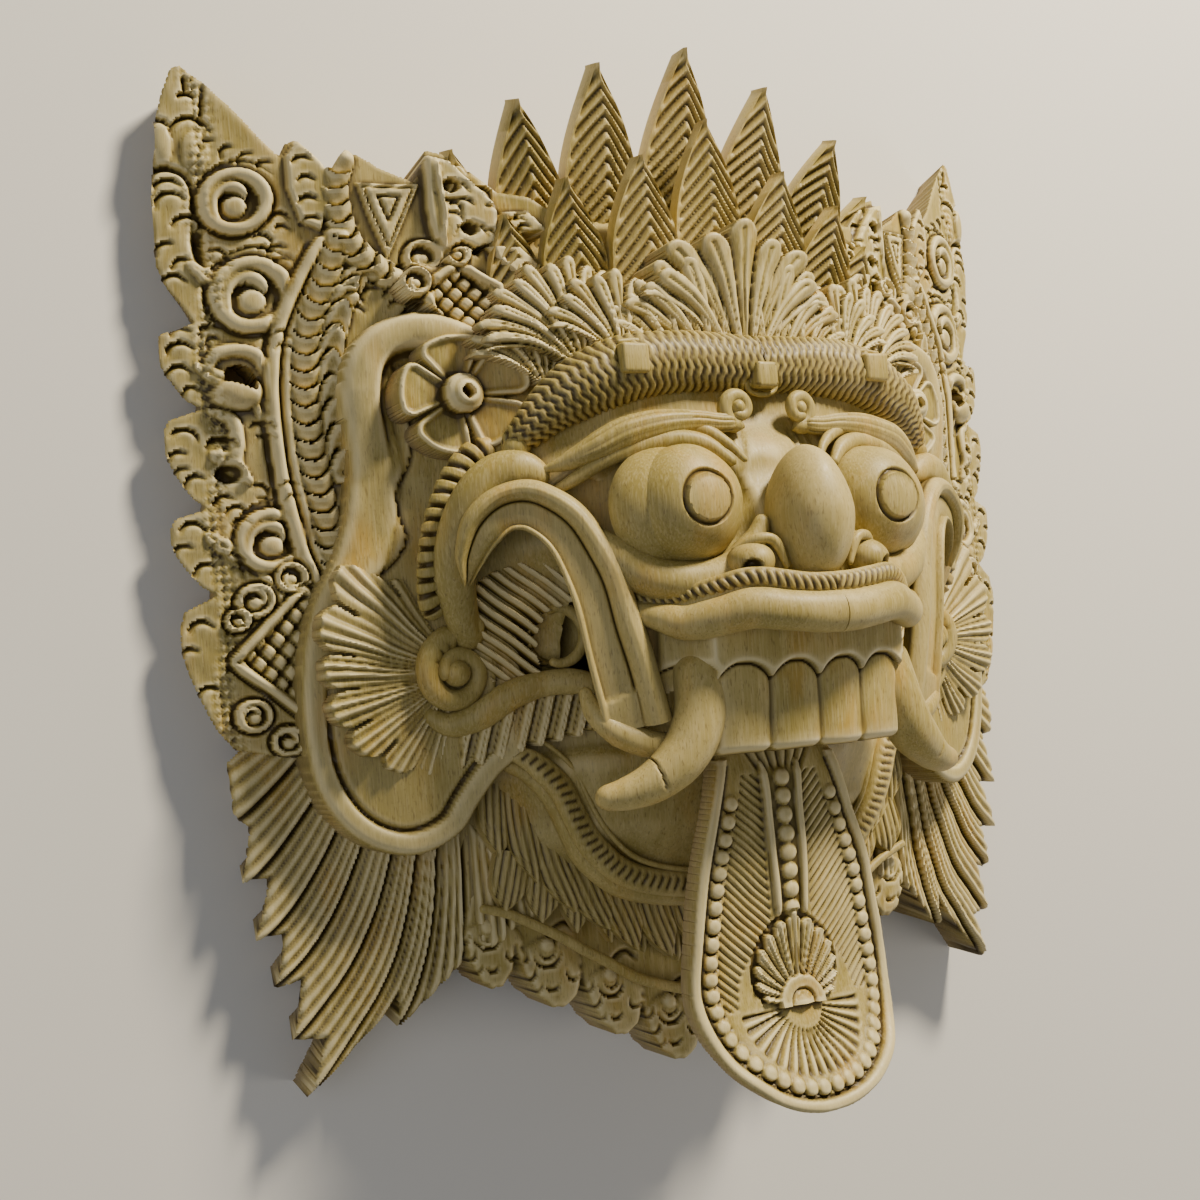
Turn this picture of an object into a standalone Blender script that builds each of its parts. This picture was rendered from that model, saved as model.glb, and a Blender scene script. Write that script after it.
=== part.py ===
"""Carved wooden demon mask with winged ears, lying on its flat back.

The mask is one block of wood: wings, crown, face, ears, jaw, beard and tongue are
carved in one and hollowed from behind. Frame: X across the face, Y up the face, Z out
of the face, with the flat back on Z = 0. Only the +X half is shaped; it is mirrored.
"""
import bmesh
import bpy
from math import cos, pi, radians, sin
from mathutils import Vector

MM = 0.001

# Driving sizes
mask_height = 374 * MM        # tip of the crown to tip of the tongue
wing_edge = 18 * MM           # thickness of the wing's outer edge
hollow_wall = 40 * MM         # wood left between the hollow and the forehead line
hollow_reach = 126 * MM       # half the width of the hollow at the back
eye_radius = 19 * MM
eye_depth = 16 * MM           # the eyeball's half-size along Z: it is a little flattened
pupil_radius = 8 * MM
pupil_rise = 1.6 * MM
tongue_thick = 9 * MM
tusk_radius = 8.5 * MM
strap_width = 18 * MM
strap_thick = 8 * MM
lip_radius = 6.2 * MM
tooth_width = 18.6 * MM
tooth_bulge = 3.5 * MM
tooth_groove = 1 * MM         # gap cut between two teeth
ear_thick = 22 * MM
ear_rim = 4.6 * MM
crown_leaf_width = 26 * MM
crown_leaf_thick = 12 * MM
feather_width = 23 * MM
feather_thick = 12 * MM
scroll_radius = 3.4 * MM
tail_feathers = 7
palm_leaves = 9
comb_teeth = 9
flat_angle = 4                # faces that turn less than this many degrees are one flat

# The carving is laid out on a grid of shares of the mask's height
grid_tall = 374
share = mask_height / grid_tall
crown_top = 183
tongue_low = -191
middle = (crown_top + tongue_low) / 2

wing_tip_x = 171
wing_slope = 0.47
tail_slope = 0.25
tail_edge_x = 150
tail_edge_z = 24

# Head, from the top down: height, then half-width and depth of five corners of the front
head_sections = [
    (126, [(0, 60), (28, 58), (52, 54), (70, 48), (78, 36)]),
    (112, [(0, 74), (28, 71), (52, 64), (70, 55), (80, 40)]),
    (92, [(0, 86), (28, 83), (54, 74), (74, 62), (88, 44)]),
    (68, [(0, 90), (28, 89), (56, 84), (80, 68), (98, 48)]),
    (45, [(0, 97), (28, 97), (56, 92), (80, 76), (100, 52)]),
    (25, [(0, 112), (24, 104), (52, 96), (76, 80), (100, 56)]),
    (5, [(0, 118), (22, 112), (50, 100), (66, 84), (100, 56)]),
    (-12, [(0, 124), (22, 120), (46, 104), (56, 82), (100, 56)]),
    (-30, [(0, 118), (24, 116), (44, 103), (52, 76), (100, 56)]),
    (-42, [(0, 112), (28, 109), (42, 98), (48, 72), (98, 54)]),
    (-66, [(0, 110), (28, 107), (38, 96), (48, 72), (92, 50)]),
    (-70, [(0, 82), (20, 81), (42, 78), (60, 70), (92, 50)]),
    (-92, [(0, 76), (20, 75), (42, 72), (58, 66), (84, 46)]),
    (-114, [(0, 70), (16, 69), (32, 66), (46, 58), (76, 42)]),
    (-120, [(0, 44), (16, 43), (32, 42), (46, 41), (76, 38)]),
    (-138, [(0, 36), (16, 36), (32, 36), (46, 35), (76, 33)]),
]

# Hollow behind the head: height and its half-width as a share of hollow_reach
hollow_sections = [
    (112, 0.45), (92, 0.75), (68, 0.92), (25, 1.0), (-12, 1.0), (-42, 0.95),
    (-70, 0.84), (-92, 0.62), (-114, 0.36),
]


def at(x, y, z):
    """A place on the carving grid, in metres."""
    return Vector((x * share, (y - middle) * share, z * share))


def wing_face(x):
    """Depth of the wing's front face, in metres: it rises from the outer edge inwards."""
    return wing_edge + wing_slope * (wing_tip_x - x) * share


def tail_face(x):
    """Depth of the front face under the tail feathers, in metres."""
    return (tail_edge_z + tail_slope * (tail_edge_x - x)) * share - 4 * MM


def ear_face(x):
    """Depth of the ear's rim, in metres."""
    return (36 + 0.38 * (149 - x)) * share


def group_of(name):
    """A collection of forms that are joined to the mask or cut from it together."""
    group = bpy.data.collections.new(name)
    bpy.context.scene.collection.children.link(group)
    return group


def keep_form(bm, name, group):
    """Closes a form's mesh, turns its faces out and puts it in its group as a guide."""
    bmesh.ops.recalc_face_normals(bm, faces=bm.faces)
    bmesh.ops.triangulate(bm, faces=bm.faces)
    mesh = bpy.data.meshes.new(name)
    bm.to_mesh(mesh)
    bm.free()
    form = bpy.data.objects.new(name, mesh)
    form.hide_render = True
    form.display_type = "WIRE"
    group.objects.link(form)
    return form


def grow(name, rings, group):
    """A closed form grown ring by ring, by extruding the last ring's face."""
    bm = bmesh.new()
    first = bm.faces.new([bm.verts.new(corner) for corner in rings[0]])
    face = first
    for ring in rings[1:]:
        grown = bmesh.ops.extrude_face_region(bm, geom=[face])["geom"]
        if face is not first:
            bmesh.ops.delete(bm, geom=[face], context="FACES_ONLY")
        face = next(part for part in grown if isinstance(part, bmesh.types.BMFace))
        for vert, corner in zip(face.verts, ring):
            vert.co = corner
    return keep_form(bm, name, group)


def tube(name, path, radii, group, sides=5, flat=1.0):
    """A round or flattened carved moulding along a path of points."""
    rings = []
    for i, centre in enumerate(path):
        ahead = path[min(i + 1, len(path) - 1)] - path[max(i - 1, 0)]
        side = ahead.cross(Vector((0, 0, 1))).normalized()
        lift = side.cross(ahead).normalized()
        radius = radii[min(i, len(radii) - 1)]
        ring = []
        for k in range(sides):
            turn = 2 * pi * (k + 0.5) / sides
            ring.append(centre + side * radius * cos(turn) + lift * radius * flat * sin(turn))
        rings.append(ring)
    return grow(name, rings, group)


def leaf(name, base, tip, width, thick, group, base_share=0.75, ridge=0.35, waist=0.55):
    """A pointed leaf or feather with a ridge down its front."""
    ahead = tip - base
    side = ahead.cross(Vector((0, 0, 1))).normalized()
    lift = side.cross(ahead).normalized()
    rings = []
    for along, broad, deep in ((0, base_share, 1), (waist, 1, 0.9), (1, 0.09, 0.4)):
        half = width / 2 * broad
        low = -thick / 2 * deep
        high = thick / 2 * deep * (1 - ridge)
        top = thick / 2 * deep
        centre = base + ahead * along
        profile = ((-half, low), (-half, high), (0, top), (half, high), (half, low))
        rings.append([centre + side * s + lift * h for s, h in profile])
    return grow(name, rings, group)


def plate(name, outline, top, bottom, group, rim=0):
    """A flat-backed board; top gives its front depth at each x, and rim a raised edge."""
    bm = bmesh.new()
    face = bm.faces.new([bm.verts.new((p.x, p.y, bottom)) for p in outline])
    raised = bmesh.ops.extrude_face_region(bm, geom=[face])["geom"]
    for vert in [part for part in raised if isinstance(part, bmesh.types.BMVert)]:
        vert.co.z = top(vert.co.x / share)
    if rim:
        cap = [part for part in raised if isinstance(part, bmesh.types.BMFace)]
        bmesh.ops.inset_region(bm, faces=cap, thickness=rim, depth=-rim / 2, use_even_offset=True)
    return keep_form(bm, name, group)


def fan(name, centre, rim, low, group):
    """Leaves that spread from one centre: rim runs tip, valley, tip along their edge."""
    bm = bmesh.new()
    face = bm.faces.new([bm.verts.new((p.x, p.y, low)) for p in rim])
    raised = bmesh.ops.extrude_face_region(bm, geom=[face])["geom"]
    cap = next(part for part in raised if isinstance(part, bmesh.types.BMFace))
    for vert, spot in zip(cap.verts, rim):
        vert.co = spot
    hub = bmesh.ops.poke(bm, faces=[cap])["verts"][0]
    hub.co = centre
    return keep_form(bm, name, group)


def ball(name, centre, radii, group, around=9, up=6):
    """A rounded boss."""
    bm = bmesh.new()
    bmesh.ops.create_uvsphere(bm, u_segments=around, v_segments=up, radius=1)
    bmesh.ops.scale(bm, vec=radii, verts=bm.verts)
    bmesh.ops.translate(bm, vec=centre, verts=bm.verts)
    return keep_form(bm, name, group)


def disc(name, centre, radius, thick, group, sides=12, turn=0.0):
    """A short round or many-sided boss, standing along Z."""
    low = [centre + Vector((cos(turn + 2 * pi * k / sides), sin(turn + 2 * pi * k / sides), 0))
           * radius for k in range(sides)]
    high = [corner + Vector((0, 0, thick)) for corner in low]
    return grow(name, [low, high], group)


def spiral(name, centre, start, end, turns, first, z_of, group, steps=8, sides=4):
    """A scroll: a moulding that winds in from radius start to radius end."""
    path = []
    radii = []
    for i in range(steps):
        t = i / (steps - 1)
        reach = start + (end - start) * t
        turn = radians(first) + 2 * pi * turns * t
        x = centre[0] + reach * cos(turn)
        y = centre[1] + reach * sin(turn)
        spot = at(x, y, 0)
        spot.z = z_of(x)
        path.append(spot)
        radii.append(scroll_radius * (1.0 - 0.35 * t))
    return tube(name, path, radii, group, sides=sides)


def shape_head(group):
    """The block that the face is carved from."""
    rings = []
    overlap = -8
    for y, front in head_sections:
        ring = [at(overlap, y, 0), at(overlap, y, front[0][1])]
        ring += [at(x, y, z) for x, z in front]
        ring.append(at(front[-1][0], y, 0))
        rings.append(ring)
    grow("head_block", rings, group)


def bow(x_top, y_top, x_low, y_low, reach, steps=3):
    """Corners of a rounded lobe between two notches, from the top notch down."""
    corners = []
    for i in range(1, steps + 1):
        t = i / (steps + 1)
        bulge = reach * sin(pi * t) ** 0.6
        corners.append((x_top + (x_low - x_top) * t + bulge, y_top + (y_low - y_top) * t))
    return corners


def wing_outline():
    """Outer edge of the wing, from the crown out to the tip and down to the tail."""
    top_edge = [(62, 121), (76, 124), (87, 136), (98, 140), (101, 129), (112, 135),
                (122, 143), (127, 135), (138, 146), (142, 141), (156, 160)]
    edge = [(wing_tip_x, 174), (178, 157), (180, 119), (178, 98), (171, 86)]
    notches = [(171, 86), (170, 57), (170, 23), (169, -6), (167, -56)]
    for (x_top, y_top), (x_low, y_low) in zip(notches, notches[1:]):
        edge += bow(x_top, y_top, x_low, y_low, 11.5)
        edge.append((x_low, y_low))
    inner = [(120, -62), (64, -60)]
    return [at(x, y, 0) for x, y in top_edge + edge + inner]


def shape_wing_block(group):
    """The broad wing and the board under the tail feathers."""
    plate("wing_board", wing_outline(), wing_face, 0, group)
    board = [at(x, y, 0) for x, y in ((160, -50), (158, -80), (154, -120), (145, -150),
                                      (138, -158), (122, -146), (104, -128), (84, -124),
                                      (64, -118), (64, -50))]
    plate("tail_board", board, tail_face, 0, group)


def shape_wing_carving(group):
    """The main scrollwork of the wing."""
    for i, (x, y, reach) in enumerate(((156, 125, 9), (153, 92, 9), (159, 64, 7),
                                       (160, 38, 8), (152, 11, 8))):
        spiral("wing_scroll_%d" % i, (x, y), reach, 2.5, 1.1, 60 - 40 * i, wing_face, group)
    rib_path = []
    for i in range(7):
        t = i / 6
        x = 132 + 17 * sin(pi * (0.16 + 0.72 * t)) - 6 * sin(pi * 0.16)
        spot = at(x, 109 - 104 * t, 0)
        spot.z = wing_face(x)
        rib_path.append(spot)
    tube("wing_rib", rib_path, [scroll_radius], group, sides=4)
    bead_path = [spot + Vector((-9.5 * share, -1 * share, 9 * wing_slope * share))
                 for spot in rib_path]
    bead_rise = 3.2 * MM
    tube("wing_beads", bead_path, [bead_rise, bead_rise * 0.7] * 4, group, sides=4)
    lattice = [at(x, y, 0) for x, y in ((166, -29), (145, -6), (143, -52))]
    plate("wing_lattice", lattice, lambda x: wing_face(x) + 3 * MM, 12 * MM, group)
    panel = [at(x, y, 0) for x, y in ((121, 128), (100, 125), (110, 101))]
    plate("wing_panel", panel, lambda x: wing_face(x) + 3 * MM, 32 * MM, group)
    rope_path = []
    for x, y in ((123, 137), (126, 124), (123, 110), (114, 100), (104, 94)):
        spot = at(x, y, 0)
        spot.z = wing_face(x)
        rope_path.append(spot)
    tube("wing_rope", rope_path, [scroll_radius], group, sides=4)
    top_leaf = [at(x, y, 0) for x, y in ((99, 139), (89, 134), (77, 121), (77, 106),
                                         (86, 97), (98, 102))]
    plate("wing_top_leaf", top_leaf, lambda x: wing_face(x) + 4 * MM, 40 * MM, group)


def shape_tail(group):
    """The fan of long feathers that hangs from under the ear."""
    last = tail_feathers - 1
    for i in range(tail_feathers):
        t = i / last
        tip = at(169.5 - 19 * t ** 1.6, -66 - 110 * t, 21 + 3 * t)
        base = at(128 - 24 * t, -40 - 52 * t, 34 + 6 * t)
        leaf("tail_feather_%d" % i, base, tip, feather_width, feather_thick, group)
    for i, (x, y) in enumerate(((121, -158), (101, -143))):
        base = at(98 - 8 * i, -94, 42)
        leaf("tail_inner_%d" % i, base, at(x, y, 30 + 4 * i), feather_width * 0.9,
             feather_thick, group)


def shape_crown(group):
    """Two rows of upright pointed leaves over the forehead."""
    back_row = (((0, 118, 54), (0, crown_top, 71)), ((31, 114, 54), (34, 173.5, 68)),
                ((58, 106, 52), (66, 157.6, 68)))
    front_row = (((0, 92, 78), (0, 152, 81)), ((27, 88, 78), (29, 136, 83)),
                 ((52, 84, 72), (55, 127, 79)))
    for row, leaves in (("back", back_row), ("front", front_row)):
        for i, (base, tip) in enumerate(leaves):
            leaf("crown_%s_%d" % (row, i), at(*base), at(*tip), crown_leaf_width,
                 crown_leaf_thick, group, base_share=1.2, ridge=0.6, waist=0.5)
    rim = [at(-8, 70, 88), at(-8, 100, 94), at(0, 110, 100), at(6, 98, 92), at(12, 105, 97),
           at(15, 92, 90), at(22, 98, 94), at(24, 84, 87), at(32, 88, 91), at(26, 68, 88)]
    fan("brow_fan", at(0, 72, 99), rim, 70 * share, group)
    side_root = at(57, 64, 83)
    rim = [side_root + at(24, middle, -14), side_root + at(-22, middle, 0)]
    for i in range(9):
        turn = radians(150 - 15 * i)
        reach = (31 - 0.7 * abs(i - 4)) * (1 if i % 2 == 0 else 0.78) * share
        drop = 0 if i % 2 == 0 else -4 * share
        rim.append(side_root + Vector((cos(turn) * reach, sin(turn) * reach,
                                       drop - 0.35 * max(0, cos(turn)) * reach)))
    fan("side_fan", side_root + at(0, 6 + middle, 7), rim, 50 * share, group)


def shape_forehead(group):
    """The roll of curled hair, its jewels and the smooth brows."""
    roll = [at(*spot) for spot in ((82, 34, 80), (73, 45, 84), (60, 53, 88), (44, 58, 91),
                                   (26, 59, 93), (8, 58, 94), (-8, 58, 94))]
    tube("hair_roll", roll, [9.5 * share, 11.5 * share], group, sides=6)
    disc("side_jewel", at(50, 62, 96), 5.5 * share, 6 * share, group, sides=4, turn=pi / 4)
    disc("middle_jewel", at(0, 57, 98), 5.5 * share, 7 * share, group, sides=4, turn=pi / 4)
    brow = [at(*spot) for spot in ((78, 25, 88), (68, 30, 94), (56, 35, 98), (42, 38, 100),
                                   (28, 38.5, 102), (16, 38, 102))]
    tube("brow", brow, [2 * share, 5.5 * share, 6.5 * share, 5.5 * share, 4.5 * share],
         group)
    ball("brow_scroll", at(13.4, 43, 99), (6.5 * share, 6.5 * share, 6 * share), group,
         around=8, up=5)


def shape_eyes(group):
    """The bulging eyes with raised pupils, and their lids."""
    centre = at(38, 11, 124) - Vector((0, 0, eye_depth))
    ball("eyeball", centre, (eye_radius, eye_radius, eye_depth), group, around=12, up=8)
    pupil_base = centre + Vector((0, 0, eye_depth * 0.8))
    disc("pupil", pupil_base, pupil_radius, eye_depth * 0.2 + pupil_rise, group, sides=12)
    lower = [at(*spot) for spot in ((72, 12, 88), (64, -2, 98), (52, -12, 105), (39, -15, 111),
                                    (27, -11, 116), (19, -2, 118))]
    tube("lower_lid", lower, [3 * share, 5.5 * share, 6.5 * share, 6 * share, 5 * share],
         group)
    upper = [at(*spot) for spot in ((72, 17, 88), (62, 28, 96), (48, 34, 100), (32, 33, 104),
                                    (20, 24, 110))]
    tube("upper_lid", upper, [3 * share, 4.5 * share], group)


def shape_nose_and_mouth(group):
    """Egg-shaped nose, nostrils, wavy lip with its rope, gum, teeth and tusk."""
    ball("nose", at(0, 5, 122), (15.5 * share, 21.5 * share, 16 * share), group, around=10,
         up=7)
    ball("nostril", at(23, -10, 121), (7.5 * share, 6.5 * share, 8 * share), group, around=8)
    lip = [at(*spot) for spot in ((58, -22, 101), (50, -27, 109), (41, -28.5, 118),
                                  (31, -27, 126), (20, -25, 131.5), (9, -23.5, 134),
                                  (-9, -23.5, 134))]
    tube("lip", lip, [lip_radius * 0.5, lip_radius * 0.85, lip_radius], group, sides=7)
    rope = [at(*spot) for spot in ((58, -16, 98), (48, -18, 109), (37, -16, 118),
                                   (26, -14, 125.5), (14, -15, 130), (-9, -16.5, 132))]
    tube("lip_rope", rope, [3 * share], group, sides=4)
    for i in range(2):
        middle_x = tooth_width * (i + 0.5)
        gum_z = (114.5 - i) * share
        rings = []
        for y, wide, out in ((-71, 1, 1), (-48, 1, 1), (-41, 0.72, 0.7), (-39, 0.3, 0.2)):
            low = at(0, y, 0).y
            half = (tooth_width - tooth_groove) / 2 * wide
            front = gum_z + (tooth_bulge + 2 * MM) * out
            profile = ((-half, gum_z - 25 * MM), (-half, gum_z), (-half * 0.6, front),
                       (half * 0.6, front), (half, gum_z), (half, gum_z - 25 * MM))
            rings.append([Vector((middle_x + x, low, z)) for x, z in profile])
        grow("tooth_%d" % i, rings, group)
    tusk = [at(*spot) for spot in ((38, -37, 104), (38.5, -48, 107), (41, -59, 108),
                                   (47, -69, 107), (56, -76.5, 104), (65, -80, 100),
                                   (74, -81, 96))]
    tube("tusk", tusk, [tusk_radius * k for k in (0.9, 1, 1, 0.98, 0.88, 0.7, 0.5)],
         group, sides=7)


def shape_cheek_block(group):
    """The ribbed tuft in the hollow cheek and the notched comb behind it."""
    tuft = [at(x, y, 0) for x, y in ((98, -24), (95, -10), (80, -4), (66, -4), (64, -14),
                                     (75, -21), (75, -42), (92, -42))]
    plate("tuft", tuft, lambda x: (73 - 0.3 * (x - 70)) * share, 40 * share, group)
    comb = []
    for i in range(2 * comb_teeth + 1):
        t = i / (2 * comb_teeth)
        turn = radians(118 - 132 * t)
        reach = (33 if i % 2 else 37) * share
        comb.append(at(76.5, 3 - 14 * t, 0) + Vector((cos(turn), sin(turn), 0)) * reach)
    comb += [at(94, -24, 0), at(80, 0, 0), at(70, 26, 0)]
    plate("comb", comb, lambda x: (66 - 0.15 * (x - 90)) * share, 40 * share, group)


def shape_cheek(group):
    """The smooth frame and the band that run round the hollow cheek."""
    frame = [at(*spot) for spot in ((74, 21, 89), (88, 26, 82), (99, 20, 75), (105, 8, 69),
                                    (107, -8, 64), (103, -22, 60), (94, -33, 56))]
    tube("cheek_frame", frame, [4 * share, 7 * share, 7.5 * share, 7 * share], group)
    band = [at(*spot) for spot in ((108, -52, 54), (96, -54, 60), (84, -50, 66),
                                   (72, -47, 71), (60, -46, 76))]
    tube("cheek_band", band, [4.5 * share], group, sides=4)


def shape_ear_block(group):
    """The long looped ear with its raised rim, and the leaf fringe beside it."""
    loop = ((88, 76), (96, 81), (108, 83), (120, 79), (128, 71), (131, 58), (129, 36),
            (131, 18), (137, 0), (145, -20), (148, -42), (147, -64), (140, -84),
            (127, -95), (112, -95), (100, -87), (91, -73), (80, -62), (78, 20))
    outline = [at(x, y, 0) for x, y in loop]
    plate("ear_loop", outline, ear_face, ear_face(149) - ear_thick, group, rim=ear_rim)
    fringe = [(98, -50), (54, -46), (54, -63), (59, -60), (64, -64), (69, -60), (74, -66),
              (79, -61), (85, -68), (90, -62), (97, -70)]
    plate("fringe", [at(x, y, 0) for x, y in fringe], lambda x: (68 - 0.3 * (x - 60)) * share,
          40 * share, group)


def shape_ear(group):
    """The flower, the coiled rosette and the palm leaves on the ear."""
    flower = at(96, 54, 63)
    rim = []
    for i in range(15):
        turn = radians(116 + 24 * i)
        reach = (12 if i % 3 == 0 else 19) * share
        rise = (-2 if i % 3 == 0 else 2) * share
        rim.append(flower + Vector((cos(turn) * reach, sin(turn) * reach, rise)))
    fan("flower", flower, rim, 42 * share, group)
    disc("flower_eye", flower, 6 * share, 5 * share, group, sides=8)
    rosette = (101, -38)
    rim = []
    for i in range(2 * palm_leaves - 1):
        t = i / (2 * palm_leaves - 2)
        turn = radians(50 - 156 * t)
        reach = (51 - 22 * t ** 0.7) * (1 if i % 2 == 0 else 0.8)
        height = (47 if i % 2 == 0 else 44) + 4 * t
        rim.append(at(rosette[0] + reach * cos(turn), rosette[1] + reach * sin(turn), height))
    rim.append(at(84, -30, 50))
    fan("palm_leaves", at(*rosette, 54), rim, 32 * share, group)
    spiral("rosette_coil", rosette, 13, 4, 1.25, 150, lambda x: 56 * share, group, steps=10)
    ball("rosette_dome", at(*rosette, 53), (7 * share, 7 * share, 8 * share), group,
         around=7, up=4)


def shape_jaw_and_beard(group):
    """The roped edge of the jaw, two layers of beard and the scalloped lower border."""
    rim = [at(*spot) for spot in ((86, -64, 62), (77, -70, 64), (70, -78, 65), (65, -90, 65),
                                  (58, -101, 65), (47, -110, 65), (32, -115, 66),
                                  (14, -116, 67), (-8, -116, 67))]
    tube("jaw_rope", rim, [4 * share], group, sides=4)
    leaves = (((79, -78), (76, -111)), ((68, -92), (62, -123)), ((58, -103), (49, -130)),
              ((45, -110), (37, -138)), ((30, -112), (27, -140)), ((14, -112), (13, -143)))
    for i, (base, tip) in enumerate(leaves):
        leaf("beard_leaf_%d" % i, at(base[0], base[1], 45), at(tip[0], tip[1], 45),
             17 * share, 14 * share, group, base_share=0.9)
    border = [(-8, -120), (-8, -180)]
    notches = ((8, -172), (31, -160), (54, -146), (78, -133), (97, -128))
    for (x_in, y_in), (x_out, y_out) in zip(notches, notches[1:]):
        border.append((x_in, y_in))
        for t in (0.2, 0.45, 0.75):
            border.append((x_in + (x_out - x_in) * t,
                           y_in + (y_out - y_in) * t - 15 * sin(pi * t) ** 0.5))
    border += [notches[-1], (84, -112)]
    plate("beard_border", [at(x, y, 0) for x, y in border],
          lambda x: (42 - 0.05 * x) * share, 18 * share, group)


def shape_tongue(group):
    """The long tongue that hangs free in front of the beard."""
    rings = []
    for y, half, z in ((-60, 22, 88), (-76, 25, 92), (-92, 29, 93), (-110, 34, 93),
                       (-130, 38, 92), (-150, 41, 92), (-165, 38, 97), (-178, 30, 104),
                       (-187, 18, 107), (tongue_low, 7, 108)):
        top = at(0, y, z)
        edge = at(half, y, z - 4)
        brim = at(half * 0.8, y, z + 1)
        down = Vector((0, 0, tongue_thick))
        mid = Vector((-8 * share, top.y, top.z))
        rings.append([mid, brim, edge, edge - down * 0.6, brim - down, mid - down])
    grow("tongue", rings, group)


def shape_strap(group):
    """The arched strap that springs from the temple over the hollow cheek."""
    centre_line = ((98, 2, 78), (95, 11, 81), (88, 15, 85), (79, 12, 89), (69, 1, 94),
                   (62, -14, 98), (58, -32, 100), (53, -60, 99))
    path = [at(*spot) for spot in centre_line]
    face_out = Vector((0.42, 0, 0.9)).normalized()
    rings = []
    for i, centre in enumerate(path):
        ahead = path[min(i + 1, len(path) - 1)] - path[max(i - 1, 0)]
        side = ahead.cross(face_out).normalized() * strap_width / 2
        out = side.cross(ahead).normalized() * strap_thick / 2
        rings.append([centre + side + out * 0.3, centre + out, centre - side + out * 0.3,
                      centre - side - out, centre + side - out])
    grow("cheek_strap", rings, group)
    foot = [at(*spot) for spot in ((68, -56, 92), (64, -64, 96), (55, -67, 98), (45, -66, 98))]
    tube("strap_foot", foot, [5 * share], group)
    knee = [at(*spot) for spot in ((55, -58, 99), (54, -64, 88), (52, -66, 70))]
    tube("strap_knee", knee, [7 * share], group)


def cut_cheek(group):
    """The opening under the strap, through to the hollow."""
    opening = [at(x, y, 0) for x, y in ((50, -16), (66, -14), (68, -30), (66, -54), (50, -60))]
    plate("cheek_opening", opening, lambda x: 130 * share, 30 * share, group)


def cut_hollow(group):
    """The hollow that takes the wearer's face, open at the flat back."""
    front_at = {y: front[0][1] * share for y, front in head_sections}
    rings = []
    overlap = -8 * share
    for y, wide in hollow_sections:
        depth = min(front_at[y], 118 * share) - hollow_wall
        reach = hollow_reach * wide
        arch = ((0.27, 0.97), (0.44, 0.8), (0.66, 0.5), (0.9, 0.17), (1, -0.1))
        level = at(0, y, 0).y
        ring = [Vector((overlap, level, -depth * 0.1)), Vector((overlap, level, depth))]
        ring += [Vector((reach * x, level, depth * z)) for x, z in arch]
        rings.append(ring)
    grow("hollow", rings, group)


def apply_groups(mask, steps):
    """Joins or cuts each group of forms in turn, then mirrors the half."""
    for name, operation, group in steps:
        change = mask.modifiers.new(name, "BOOLEAN")
        change.operation = operation
        change.operand_type = "COLLECTION"
        change.collection = group
        change.solver = "EXACT"
        flat = mask.modifiers.new(name + "_flats", "DECIMATE")
        flat.decimate_type = "DISSOLVE"
        flat.angle_limit = radians(flat_angle)
    mirror = mask.modifiers.new("other_half", "MIRROR")
    mirror.use_axis = (True, False, False)
    mirror.use_bisect_axis = (True, False, False)
    mirror.use_clip = True
    mirror.bisect_threshold = 0.00001
    mirror.merge_threshold = 0.00002


def wood():
    """Pale, close-grained carving wood under a thin wash, half matt."""
    material = bpy.data.materials.new("pale_carved_wood")
    material.use_nodes = True
    shader = material.node_tree.nodes["Principled BSDF"]
    shader.inputs["Base Color"].default_value = (0.52, 0.45, 0.26, 1)
    shader.inputs["Roughness"].default_value = 0.55
    shader.inputs["Metallic"].default_value = 0
    return material


def build():
    for old in list(bpy.data.objects):
        bpy.data.objects.remove(old, do_unlink=True)
    blocks = group_of("wing_blocks")
    cuts = group_of("hollow_and_openings")
    carved = group_of("carved_forms")
    shape_wing_block(blocks)
    shape_cheek_block(blocks)
    shape_ear_block(blocks)
    cut_cheek(cuts)
    cut_hollow(cuts)
    shape_wing_carving(carved)
    shape_tail(carved)
    shape_crown(carved)
    shape_forehead(carved)
    shape_eyes(carved)
    shape_nose_and_mouth(carved)
    shape_cheek(carved)
    shape_ear(carved)
    shape_jaw_and_beard(carved)
    shape_tongue(carved)
    shape_strap(carved)

    start = group_of("start")
    shape_head(start)
    mask = start.objects[0]
    mask.name = "mask"
    mask.hide_render = False
    mask.display_type = "TEXTURED"
    mask.data.materials.append(wood())
    apply_groups(mask, (("join_blocks", "UNION", blocks), ("hollow_out", "DIFFERENCE", cuts),
                        ("join_carving", "UNION", carved)))


build()
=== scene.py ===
import bmesh
import bpy
import numpy as np
from mathutils import Matrix, Vector


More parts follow.
